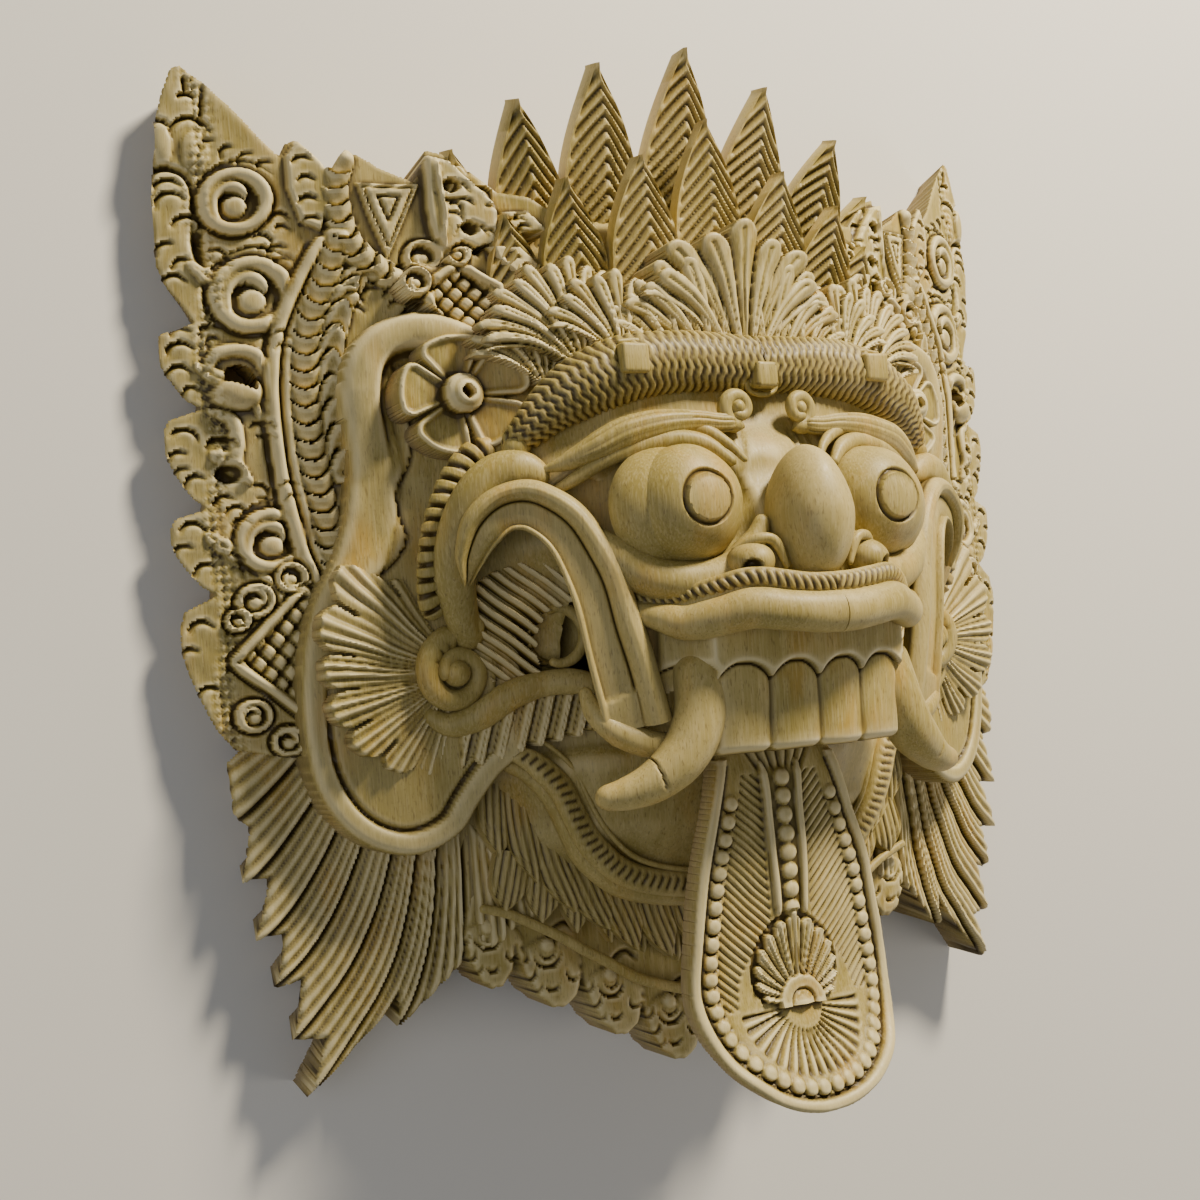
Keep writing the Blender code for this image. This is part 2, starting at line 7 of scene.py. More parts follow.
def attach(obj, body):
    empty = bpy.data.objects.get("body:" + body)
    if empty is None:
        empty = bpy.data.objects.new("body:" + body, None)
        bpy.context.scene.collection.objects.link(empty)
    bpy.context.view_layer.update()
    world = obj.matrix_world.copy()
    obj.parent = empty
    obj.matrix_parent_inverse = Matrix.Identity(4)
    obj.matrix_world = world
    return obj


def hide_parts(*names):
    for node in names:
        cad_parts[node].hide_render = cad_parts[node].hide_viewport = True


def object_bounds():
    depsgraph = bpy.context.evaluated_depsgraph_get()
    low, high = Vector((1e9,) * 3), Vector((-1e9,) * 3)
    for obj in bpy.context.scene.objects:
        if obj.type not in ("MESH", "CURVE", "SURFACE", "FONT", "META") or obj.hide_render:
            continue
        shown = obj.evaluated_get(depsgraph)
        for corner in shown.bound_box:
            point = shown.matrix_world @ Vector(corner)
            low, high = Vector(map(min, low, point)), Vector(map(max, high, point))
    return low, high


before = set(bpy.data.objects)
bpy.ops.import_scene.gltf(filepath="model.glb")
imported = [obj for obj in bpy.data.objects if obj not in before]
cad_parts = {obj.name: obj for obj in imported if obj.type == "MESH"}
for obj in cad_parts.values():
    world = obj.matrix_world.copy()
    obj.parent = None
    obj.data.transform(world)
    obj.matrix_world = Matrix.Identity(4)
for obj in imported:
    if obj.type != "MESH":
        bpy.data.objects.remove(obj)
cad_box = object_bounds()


# The finish: pale carving wood under a thin wash, raw and half matt.
# It is close grained along the face, yellow to olive; a painted highlight in cream lies on
# raised edges, painted shade in brown in the cuts; each mesh says in "cut" how deep a spot
# lies.

def linear(code):
    """A colour given as sRGB hex, turned to the linear values that shaders take."""
    parts = [int(code[i:i + 2], 16) / 255 for i in (0, 2, 4)]
    return tuple(c / 12.92 if c <= 0.04045 else ((c + 0.055) / 1.055) ** 2.4
                 for c in parts) + (1.0,)


def add_node(tree, kind, settings=None, **links):
    """Adds a node; settings are its options and inputs, links come from other nodes."""
    node = tree.nodes.new(kind)
    for key, value in (settings or {}).items():
        if isinstance(key, int):
            node.inputs[key].default_value = value
        else:
            setattr(node, key, value)
    for key, socket in links.items():
        tree.links.new(socket, node.inputs[int(key[1:])])
    return node


def stretched_noise(tree, place, scale, size, detail=3.0):
    """Noise whose grains are longer along the face than across it."""
    moved = add_node(tree, "ShaderNodeVectorMath", {"operation": "MULTIPLY", 1: scale},
                     _0=place)
    return add_node(tree, "ShaderNodeTexNoise", {2: size, 3: detail}, _0=moved.outputs[0])


def spread(tree, value, low, high, to_low=0.0, to_high=1.0):
    """Brings a value from one range to another, held at the ends."""
    return add_node(tree, "ShaderNodeMapRange",
                    {1: low, 2: high, 3: to_low, 4: to_high}, _0=value).outputs[0]


def blend(tree, share, first, second):
    """Mixes two colours, which are codes or sockets."""
    node = tree.nodes.new("ShaderNodeMix")
    node.data_type = "RGBA"
    if hasattr(share, "links"):
        tree.links.new(share, node.inputs[0])
    else:
        node.inputs[0].default_value = share
    for socket, value in ((node.inputs[6], first), (node.inputs[7], second)):
        if isinstance(value, str):
            socket.default_value = linear(value)
        else:
            tree.links.new(value, socket)
    return node.outputs[2]


def carved_wood():
    """Pale carved wood, washed: fine grain, dark pores, painted shade in cuts, painted
    highlight on edges.
    """
    material = bpy.data.materials.new("pale_carved_wood_washed")
    material.use_nodes = True
    tree = material.node_tree
    shader = tree.nodes["Principled BSDF"]
    place = add_node(tree, "ShaderNodeTexCoord").outputs["Object"]
    # cut: above 0 in hollows, where brown painted shade goes; below 0 on raised edges, where a
    # cream painted highlight goes.
    cut = add_node(tree, "ShaderNodeAttribute", {"attribute_name": "cut"}).outputs["Fac"]
    end = add_node(tree, "ShaderNodeAttribute", {"attribute_name": "end"}).outputs["Fac"]

    clouds = stretched_noise(tree, place, (1.0, 0.35, 1.0), 26.0).outputs[0]
    patches = stretched_noise(tree, place, (1.0, 0.5, 1.0), 55.0, 4.0).outputs[0]
    bands = stretched_noise(tree, place, (1.0, 0.06, 0.6), 190.0).outputs[0]
    fibres = stretched_noise(tree, place, (1.0, 0.05, 1.0), 1500.0, 2.0).outputs[0]
    pores = stretched_noise(tree, place, (1.0, 0.16, 1.0), 1900.0, 1.0).outputs[0]
    specks = stretched_noise(tree, place, (1.0, 1.0, 1.0), 900.0, 2.0).outputs[0]

    wood = blend(tree, spread(tree, clouds, 0.38, 0.62), "9a8a45", "b4a262")
    wood = blend(tree, spread(tree, patches, 0.52, 0.68, 0.0, 0.6), wood, "b08a2c")
    wood = blend(tree, spread(tree, bands, 0.42, 0.66, 0.0, 0.55), wood, "94833f")
    wood = blend(tree, spread(tree, fibres, 0.45, 0.7, 0.0, 0.35), wood, "d0bf88")
    wood = blend(tree, spread(tree, pores, 0.6, 0.72, 0.0, 0.5), wood, "6a5628")
    wood = blend(tree, spread(tree, specks, 0.6, 0.75, 0.0, 0.3), wood, "7d6a36")
    wood = blend(tree, spread(tree, end, 0.0, 1.0, 0.0, 0.75), wood, "b59c82")
    # Painted shade: darker brown the deeper a spot lies below the carving round it.
    wood = blend(tree, spread(tree, cut, 0.04, 0.65, 0.0, 0.92), wood, "40300c")
    # Painted highlight: cream on spots that stand above the carving round them.
    wood = blend(tree, spread(tree, cut, -0.05, -0.45, 0.0, 0.7), wood, "e3d5a4")
    tree.links.new(wood, shader.inputs["Base Color"])

    shine = spread(tree, fibres, 0.3, 0.7, 0.42, 0.6)
    tree.links.new(shine, shader.inputs["Roughness"])
    shader.inputs["Specular IOR Level"].default_value = 0.42
    grain = add_node(tree, "ShaderNodeBump", {"invert": False})
    grain.inputs["Strength"].default_value = 0.3
    grain.inputs["Distance"].default_value = 0.0002
    tree.links.new(fibres, grain.inputs["Height"])
    tree.links.new(grain.outputs["Normal"], shader.inputs["Normal"])
    return material


wood_finish = carved_wood()


# Block behind the face, with the hollow for the wearer's face. Pale wood, gouged out by
# hand: the front is lower than the carving on it, the back is flat on the ground.

MM = 0.001
ROW_SHIFT = 4
CRISP = np.radians(58)
GUARD = 0.0002
HAND_WAVE = 0.45
WAVE_SIZE = 17
WING_TIP = 171


def wing_face(x):
    """Height of the wing's front: it rises from the outer edge inwards."""
    return 18 + 0.47 * (WING_TIP - x)


def tail_face(x):
    """Height of the board of the tail feathers."""
    return 20 + 0.25 * (150 - x)


def ear_face(x):
    """Height of the ear."""
    return 36 + 0.38 * (149 - x)


def wobble(a, b, c, size):
    """A slow uneven wave through space, as a hand leaves it."""
    a, b, c = a / size, b / size, c / size
    return (np.sin(2.1 * a + 1.3 * b + 0.4) + np.sin(1.7 * b - 1.1 * c + 1.9)
            + np.sin(1.5 * c + 1.9 * a + 4.1) + np.sin(3.7 * a - 2.9 * b + 2.3 * c)) / 4


def splined(points, per=6):
    """A smooth line through points."""
    p = np.array(points, float)
    p = np.vstack([2 * p[0] - p[1], p, 2 * p[-1] - p[-2]])
    t = np.linspace(0, 1, per, endpoint=False)[:, None]
    parts = []
    for a, b, c, d in zip(p, p[1:], p[2:], p[3:]):
        parts.append(0.5 * (2 * b + (c - a) * t + (2 * a - 5 * b + 4 * c - d) * t ** 2
                            + (3 * b - a - 3 * c + d) * t ** 3))
    parts.append(p[-2][None])
    return np.vstack(parts)


def unit(value):
    """A value held between 0 and 1."""
    return np.clip(value, 0, 1)


def near(x, y, path):
    """Distance to a line, length along it, and side of it, for many points."""
    away = np.full(x.shape, 1e9)
    along = np.zeros(x.shape)
    side = np.ones(x.shape)
    done = 0.0
    for (ax, ay), (bx, by) in zip(path[:-1, :2], path[1:, :2]):
        rx, ry = bx - ax, by - ay
        length = np.hypot(rx, ry) + 1e-9
        dx, dy = x - ax, y - ay
        t = unit((dx * rx + dy * ry) / length ** 2)
        gap = np.hypot(dx - t * rx, dy - t * ry)
        closer = gap < away
        away = np.where(closer, gap, away)
        along = np.where(closer, done + t * length, along)
        side = np.where(closer, np.where(rx * dy - ry * dx >= 0, 1.0, -1.0), side)
        done += length
    return away, along, side


def within(x, y, outline):
    """Distance in from a closed outline; it is negative outside."""
    ring = np.array(outline, float)
    ring = np.vstack([ring, ring[:1]])
    away, _, _ = near(x, y, ring)
    odd = np.zeros(x.shape, bool)
    for (ax, ay), (bx, by) in zip(ring[:-1], ring[1:]):
        crosses = (ay > y) != (by > y)
        odd ^= crosses & (x < (bx - ax) * (y - ay) / (by - ay + 1e-12) + ax)
    return np.where(odd, away, -away)


def softened(image, reach):
    """Heights averaged over a square of that half-size, in cells."""
    for axis in (0, 1):
        pad = [(0, 0), (0, 0)]
        pad[axis] = (reach + 1, reach)
        total = np.cumsum(np.pad(image, pad, mode="edge"), axis=axis)
        size = 2 * reach + 1
        ends = total.take(range(size, total.shape[axis]), axis=axis)
        starts = total.take(range(0, total.shape[axis] - size), axis=axis)
        image = (ends - starts) / size
    return image


def set_layers(bm, verts, cut, end=0.0):
    """Says for each vertex how much painted shade it takes (below 0: painted highlight), and
    how far it is end grain.
    """
    deep = bm.verts.layers.float.get("cut") or bm.verts.layers.float.new("cut")
    grain = bm.verts.layers.float.get("end") or bm.verts.layers.float.new("end")
    cut = np.broadcast_to(cut, (len(verts),))
    end = np.broadcast_to(end, (len(verts),))
    for vert, c, e in zip(verts, cut, end):
        vert[deep] = float(c)
        vert[grain] = float(e)


def relief(bm, box, pitch, inside, top, low, thick_back=False, soft=0.8, undercut=0):
    """A carved board: a fine sheet cut to its outline, raised to its heights, closed below."""
    x0, x1, y0, y1 = box
    nx = int(round((x1 - x0) / pitch))
    ny = int(round((y1 - y0) / pitch))
    sheet = bmesh.new()
    sheet.verts.layers.float.new("cut")
    sheet.verts.layers.float.new("end")
    bmesh.ops.create_grid(sheet, x_segments=nx, y_segments=ny, size=1)
    flat = np.array([v.co[:2] for v in sheet.verts])
    col = np.rint((flat[:, 0] + 1) / 2 * nx).astype(int)
    row = np.rint((flat[:, 1] + 1) / 2 * ny).astype(int)
    x = x0 + col * (x1 - x0) / nx
    y = y0 + row * (y1 - y0) / ny
    depth = inside(x, y)
    image = np.zeros((ny + 1, nx + 1))
    image[row, col] = depth
    slope_y, slope_x = np.gradient(image, (y1 - y0) / ny, (x1 - x0) / nx)
    kept = image > -0.5 * pitch
    solid = kept.copy()
    for axis in (0, 1):
        for step in (1, -1):
            solid &= np.roll(kept, step, axis)
    rim = (kept & ~solid)[row, col]
    gx, gy = slope_x[row, col], slope_y[row, col]
    steep = np.maximum(gx ** 2 + gy ** 2, 0.3)
    shift = np.where(rim, np.clip(depth, -pitch, pitch), 0) / steep
    x = x - gx * shift
    y = y - gy * shift
    z = top(x, y)
    ease = unit(1 - np.maximum(depth, 0) / soft) ** 2 * soft * 0.7
    z = z - ease
    image[row, col] = z
    # Painted shade and highlight: the blurred heights less the heights, so hollows take painted
    # shade and raised edges a painted highlight.
    reach = max(2, int(1.8 / pitch))
    fine = (softened(image, reach) - image)[row, col] / 1.6
    fine *= min(1, 1.8 / (reach * pitch)) ** 3
    broad = (softened(image, max(3, int(5.0 / pitch))) - image)[row, col] / 6.5
    cut = np.clip(fine + np.maximum(broad, -0.1), -0.8, 1)
    set_layers(sheet, sheet.verts, cut)
    for vert, a, b, c in zip(sheet.verts, x, y, z):
        vert.co = (a, b, c)
    kept = kept[row, col]
    bmesh.ops.delete(sheet, geom=[v for v, k in zip(sheet.verts, kept) if not k],
                     context="VERTS")
    while True:
        bad = [v for v in sheet.verts if not v.link_faces
               or sum(e.is_boundary for e in v.link_edges) > 2]
        if not bad:
            break
        bmesh.ops.delete(sheet, geom=bad, context="VERTS")
    if thick_back:
        grown = bmesh.ops.extrude_face_region(sheet, geom=list(sheet.faces))["geom"]
        fresh = set(v for v in grown if isinstance(v, bmesh.types.BMVert))
        back = [v for v in sheet.verts if v not in fresh]
        spot = np.array([v.co[:2] for v in back])
        for vert, level in zip(back, low(spot[:, 0], spot[:, 1])):
            vert.co.z = level
        set_layers(sheet, back, 0.0)
    else:
        edges = [e for e in sheet.edges if e.is_boundary]
        for edge in edges:
            edge.smooth = False
        grown = bmesh.ops.extrude_edge_only(sheet, edges=edges)["geom"]
        fresh = [v for v in grown if isinstance(v, bmesh.types.BMVert)]
        spot = np.array([v.co[:2] for v in fresh])
        sx, sy = spot[:, 0], spot[:, 1]
        for _ in range(2 * undercut):
            gx = inside(sx + 0.4, sy) - inside(sx - 0.4, sy)
            gy = inside(sx, sy + 0.4) - inside(sx, sy - 0.4)
            norm = np.maximum(np.hypot(gx, gy), 0.4) * 2
            sx, sy = sx + gx / norm, sy + gy / norm
        for vert, a, b, level in zip(fresh, sx, sy, low(sx, sy)):
            vert.co = (a, b, min(level, vert.co.z - 0.2))
        # Side walls: slight painted shade, and the end grain's colour.
        set_layers(sheet, fresh, 0.15, 0.6)
        foot = [e for e in grown if isinstance(e, bmesh.types.BMEdge) and e.is_boundary]
        bmesh.ops.triangle_fill(sheet, use_beauty=True, use_dissolve=False, edges=foot)
    bmesh.ops.recalc_face_normals(sheet, faces=sheet.faces)
    held = bpy.data.meshes.new("held")
    sheet.to_mesh(held)
    sheet.free()
    bm.from_mesh(held)
    bpy.data.meshes.remove(held)


def piece(name, fill, both=False):
    """Makes one carved piece from what fill puts in; both adds its mirror image."""
    bm = bmesh.new()
    bm.verts.layers.float.new("cut")
    bm.verts.layers.float.new("end")
    fill(bm)
    if both:
        every = list(bm.verts) + list(bm.edges) + list(bm.faces)
        copy = bmesh.ops.duplicate(bm, geom=every)["geom"]
        twin = [v for v in copy if isinstance(v, bmesh.types.BMVert)]
        bmesh.ops.scale(bm, vec=(-1, 1, 1), verts=twin)
        bmesh.ops.reverse_faces(bm, faces=[f for f in copy
                                           if isinstance(f, bmesh.types.BMFace)])
    for face in bm.faces:
        face.smooth = True
    mesh = bpy.data.meshes.new(name)
    bm.to_mesh(mesh)
    bm.free()
    co = np.empty(len(mesh.vertices) * 3)
    mesh.vertices.foreach_get("co", co)
    co = co.reshape(-1, 3)
    x, y, z = co.T.copy()
    for axis, start in ((0, 0.0), (1, 31.0), (2, 67.0)):
        co[:, axis] += HAND_WAVE * wobble(x + start, y - start, z, WAVE_SIZE) * (z > 0.05)
    co[:, 1] += ROW_SHIFT
    co *= MM
    low, high = np.array(cad_box[0]) + GUARD, np.array(cad_box[1]) - GUARD
    low[2] = 0.0
    co = np.clip(co, low, high)
    mesh.vertices.foreach_set("co", co.ravel())
    mesh.update()
    mesh.set_sharp_from_angle(angle=CRISP)
    mesh.materials.append(wood_finish)
    thing = bpy.data.objects.new(name, mesh)
    bpy.context.scene.collection.objects.link(thing)
    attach(thing, "root")
    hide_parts("mask")
    return thing


HEAD = [
    (140, [(0, 44), (28, 42), (52, 38), (70, 32), (80, 22), (100, 20)]),
    (126, [(0, 60), (28, 58), (52, 54), (70, 48), (78, 36), (100, 30)]),
    (112, [(0, 74), (28, 71), (52, 64), (70, 55), (80, 44), (100, 38)]),
    (92, [(0, 86), (28, 83), (54, 74), (74, 62), (88, 50), (110, 40)]),
    (68, [(0, 90), (28, 89), (56, 84), (80, 68), (98, 50), (120, 40)]),
    (45, [(0, 97), (28, 97), (56, 92), (80, 76), (100, 52), (120, 42)]),
    (25, [(0, 108), (24, 104), (52, 96), (76, 84), (100, 56), (120, 42)]),
    (5, [(0, 116), (22, 110), (50, 98), (66, 86), (100, 56), (120, 42)]),
    (-12, [(0, 122), (22, 118), (46, 104), (56, 82), (100, 56), (120, 42)]),
    (-30, [(0, 118), (24, 116), (44, 103), (52, 76), (100, 54), (120, 40)]),
    (-42, [(0, 108), (28, 106), (42, 96), (48, 72), (98, 50), (120, 38)]),
    (-66, [(0, 104), (28, 102), (38, 92), (48, 72), (92, 46), (120, 34)]),
    (-71, [(0, 82), (20, 81), (42, 78), (60, 70), (92, 46), (120, 34)]),
    (-92, [(0, 76), (20, 75), (42, 72), (58, 66), (84, 44), (115, 32)]),
    (-114, [(0, 68), (16, 67), (32, 64), (46, 58), (76, 40), (108, 28)]),
    (-122, [(0, 44), (16, 43), (32, 42), (46, 41), (76, 36), (104, 28)]),
    (-150, [(0, 30), (16, 30), (32, 30), (46, 29), (76, 28), (104, 24)]),
]
HOLLOW = [(116, 0.2, 20), (112, 0.45, 34), (92, 0.75, 46), (68, 0.92, 50), (25, 1.0, 72),
          (-12, 1.0, 78), (-42, 0.95, 72), (-70, 0.84, 42), (-92, 0.62, 36),
          (-114, 0.36, 30), (-119, 0.15, 18)]
CHEEK_GAP = [(39, -28), (54, -16), (66, -14), (68, -30), (66, -54), (56, -60), (39, -58)]


def head_height(x, y):
    """Height of the plain head under the carving."""
    x = np.abs(x)
    levels = [row[0] for row in HEAD][::-1]
    heights = np.array([np.interp(x, [c[0] for c in row[1]], [c[1] for c in row[1]])
                        for row in HEAD[::-1]])
    place = np.interp(y, levels, range(len(levels)))
    first = np.minimum(place.astype(int), len(levels) - 2)
    share = place - first
    share = share * share * (3 - 2 * share)
    pick = np.arange(x.size)
    return heights[first, pick] * (1 - share) + heights[first + 1, pick] * share


def hollow_height(x, y):
    """Height of the hollow's ceiling over the ground, with the marks of the gouge."""
    levels = [row[0] for row in HOLLOW][::-1]
    wide = 126 * np.interp(y, levels, [row[1] for row in HOLLOW[::-1]])
    deep = np.interp(y, levels, [row[2] for row in HOLLOW[::-1]])
    share = np.interp(np.abs(x) / wide, (0, 0.27, 0.44, 0.66, 0.9, 1),
                      (1, 0.97, 0.8, 0.5, 0.17, -0.1))
    gouge = 0.9 * np.abs(np.sin(x / 4.6 + 0.6 * np.sin(y / 9))) * np.abs(np.cos(y / 15))
    level = deep * share - 1.2 * gouge
    return np.where((y > levels[0]) & (y < levels[-1]), np.maximum(level, 0.1), 0.1)


CORE = [(0, 132), (60, 126), (84, 108), (100, 98), (114, 84), (126, 62), (130, 40),
        (130, -30), (126, -60), (110, -110), (96, -122), (78, -128), (40, -140), (0, -140)]
core_line = CORE + [(-x, y) for x, y in CORE[::-1]]


def fill_core(bm):
    def inside(x, y):
        return np.minimum(within(x, y, core_line), -within(np.abs(x), y, CHEEK_GAP))

    def top(x, y):
        return np.minimum(head_height(x, y) - 4, 108)

    relief(bm, (-132, 132, -142, 134), 2.4, inside, top, hollow_height, thick_back=True)


piece("mask_core", fill_core)


# Winged side boards, one each side. Pale wood, pierced and relief carved: scrolls, a long
# double rib, rows of overlapped beads, lattice, leaves and gouge marks on a sloping face.

def ripple(x, y, size):
    """The slow wave of the hand over a face."""
    return wobble(x, y, 0 * x, size)


def level_at(height):
    """A level underside, as relief asks for it."""
    return lambda x, y: height + 0 * x


def peak(gap, width):
    """1 on a line, falling straight to 0 at that distance from it."""
    return unit(1 - np.abs(gap) / width)


def round_over(share):
    """A round rise: 1 in the middle and 0 where the share across reaches 1."""
    return np.sqrt(unit(1 - share ** 2))


def v_line(value, sharp):
    """1 halfway between whole numbers, falling the faster the sharper it is."""
    return unit(1 - np.abs(value % 1 - 0.5) * sharp)


def polar(x, y, middle):
    """Distance from a middle, and direction from it in degrees."""
    dx, dy = x - middle[0], y - middle[1]
    return np.hypot(dx, dy), np.degrees(np.arctan2(dy, dx))


class Field:
    """Heights over a patch of carving, which mouldings raise and cuts lower."""

    def __init__(self, x, y, z):
        self.x, self.y, self.z = x, y, z
        self.ground = z.copy()

    def pick(self, path, reach):
        path = np.asarray(path, float)
        (ax, ay), (bx, by) = path[:, :2].min(0) - reach, path[:, :2].max(0) + reach
        return np.nonzero((self.x > ax) & (self.x < bx) & (self.y > ay) & (self.y < by))[0]

    def rib(self, path, radius, rise, lift=0.0, groove=0.0):
        """A rounded moulding along a line, thinner at its ends."""
        spots = self.pick(path, radius)
        away, along, _ = near(self.x[spots], self.y[spots], path)
        total = np.hypot(*np.diff(path[:, :2], axis=0).T).sum()
        end = unit(np.minimum(along, total - along) / (2.5 * radius)) ** 0.5
        share = away / (radius * (0.35 + 0.65 * end))
        height = lift + rise * (0.6 + 0.4 * end) * round_over(share)
        height -= groove * unit(1 - share / 0.3)
        level = np.where(share < 1, self.ground[spots] + height, -99)
        self.z[spots] = np.maximum(self.z[spots], level)

    def cut(self, path, width, depth, fade=True):
        """A V-shaped cut along a line, that runs out at its ends."""
        spots = self.pick(path, width)
        away, along, _ = near(self.x[spots], self.y[spots], path)
        total = np.hypot(*np.diff(path[:, :2], axis=0).T).sum()
        end = unit(np.minimum(along, total - along) / (2 * width)) if fade else 1
        self.z[spots] -= depth * end * unit(1 - away / width)

    def gouge(self, x, y, radius, aim, depth=2.1, width=2.1, span=95):
        """The crescent mark of a round gouge, steep on the side it aims at."""
        spots = self.pick([(x, y)], radius + width)
        far, turn = polar(self.x[spots], self.y[spots], (x, y))
        turn = np.abs((turn - aim + 180) % 360 - 180)
        taper = unit(1 - (turn / span) ** 2)
        inner = unit((far - radius + width) / width) * (far <= radius)
        self.z[spots] -= depth * taper * inner

    def hole(self, x, y, rx, ry, depth):
        """A round-ended pit."""
        spots = self.pick([(x, y)], max(rx, ry))
        far = np.hypot((self.x[spots] - x) / rx, (self.y[spots] - y) / ry)
        self.z[spots] -= depth * unit((1 - far) * 3)

    def dome(self, x, y, rx, ry, rise, lift=0.0):
        """A rounded boss."""
        spots = self.pick([(x, y)], max(rx, ry))
        far = np.hypot((self.x[spots] - x) / rx, (self.y[spots] - y) / ry)
        level = self.ground[spots] + lift + rise * round_over(far)
        self.z[spots] = np.where(far < 1, np.maximum(self.z[spots], level), self.z[spots])

    def raised(self, outline, rise, bevel=1.0, lines=0.0, pitch=2.4, rim=0.0):
        """A flat raised panel, with lines that run inside its edge, or a rim."""
        spots = self.pick(outline, 1.0)
        deep = within(self.x[spots], self.y[spots], outline)
        height = rise * unit(deep / bevel)
        if lines:
            height -= lines * v_line(deep / pitch, 5)
        if rim:
            height += rim * peak(deep - 1.3, 1.2)
        level = np.where(deep > 0, self.ground[spots] + height, -99)
        self.z[spots] = np.maximum(self.z[spots], level)

    def crossed(self, outline, pitch, depth, aims=(40, -40)):
        """Crossed cuts that leave small lozenges."""
        spots = self.pick(outline, 0.5)
        deep = within(self.x[spots], self.y[spots], outline)
        for aim in np.radians(aims):
            across = self.x[spots] * np.sin(aim) + self.y[spots] * np.cos(aim)
            line = v_line(across / pitch, 4)
            self.z[spots] -= np.where(deep > 2.0, depth * line, 0)

    def beads(self, path, half, pitch, rise, lean=0.5):
        """A row of overlapped crescents along a line."""
        spots = self.pick(path, half)
        away, along, _ = near(self.x[spots], self.y[spots], path)
        share = away / half
        phase = (along / pitch + lean * share ** 2) % 1
        bump = (1 - phase) ** 0.7 * round_over(share)
        level = np.where(share < 1, self.ground[spots] + rise * (0.15 + bump), -99)
        self.z[spots] = np.maximum(self.z[spots], level)
        self.z[spots] -= np.where(share < 1, 0.7 * rise * (phase > 0.86), 0)

    def scroll(self, x, y, radius, first, turns=0.6, way=1, rise=2.8, eye=0.34, pit=4.5,
               aim=100):
        """A volute: a raised ring that winds in to an eye, hollowed deep above it."""
        spots = self.pick([(x, y)], radius * 1.3)
        far, turn = polar(self.x[spots], self.y[spots], (x, y))
        level = self.ground[spots]
        z = self.z[spots]
        z = z - 1.7 * peak(far - 1.1 * radius, 0.1 * radius + 0.7)
        above = 0.5 + 0.5 * np.cos(np.radians(turn - aim))
        bowl = pit * unit((0.74 * radius - far) / (0.12 * radius))
        z = np.where(far < 0.74 * radius, level + 0.5 * rise - bowl * (0.35 + 0.65 * above), z)
        ring = 1 - ((far - 0.86 * radius) / (0.2 * radius)) ** 2
        z = np.where(ring > 0, np.maximum(z, level + rise * np.sqrt(unit(ring))), z)
        self.z[spots] = z
        t = np.linspace(0, 1, 20)
        reach = radius * (0.8 - 0.5 * t)
        wind = np.radians(first) + way * 2 * np.pi * turns * t
        path = np.column_stack([x + reach * np.cos(wind), y + reach * np.sin(wind)])
        self.rib(path, radius * 0.17, rise * 0.9, lift=0.1)
        low = np.radians(aim + 180)
        self.dome(x + 0.18 * radius * np.cos(low), y + 0.18 * radius * np.sin(low),
                  radius * eye, radius * eye, rise * 0.75, rise * 0.1)


def lobe(x_top, y_top, x_low, y_low, reach, steps=9):
    """Points of a leaf's edge between two notches: square above, sloping back below."""
    points = []
    for i in range(1, steps + 1):
        t = i / (steps + 1)
        out = reach * np.sin(np.pi * t ** 0.62) ** 0.55 * (1 - 0.18 * t)
        points.append((x_top + (x_low - x_top) * t + out, y_top + (y_low - y_top) * t))
    return points


WING_NOTCHES = [(171, 86), (170, 57), (170, 23), (169, -6), (167, -56)]
wing_line = [(60, 118), (66, 123), (76, 125), (84, 133), (92, 139), (97, 141), (99, 136),
             (101, 130), (106, 133), (112, 136), (118, 141), (122, 143), (125, 140),
             (127, 136), (132, 141), (137, 147), (140, 146), (142, 142), (149, 150),
             (156, 160), (163, 168), (170, 175), (173, 174), (176, 166), (179, 155),
             (180, 145), (181.5, 130), (181, 118), (181, 106), (178, 98), (174, 92)]
for upper, lower in zip(WING_NOTCHES, WING_NOTCHES[1:]):
    wing_line.append(upper)
    wing_line += lobe(*upper, *lower, 13.0)
wing_line += [(167, -58), (140, -64), (118, -64), (121, -50), (127, -30), (128.5, 0),
              (128.5, 40), (125, 60), (113, 80), (99, 96), (84, 106), (70, 110), (60, 110)]
EGG_HOLE = [(151.5, 57), (151, 66), (153, 71), (158, 74), (163, 73), (166, 69), (166, 64)]
wing_scrolls = ((156.5, 127, 11, 300, 1), (153, 94.5, 12.5, 310, 1), (152, 11, 10.5, 320, 1))


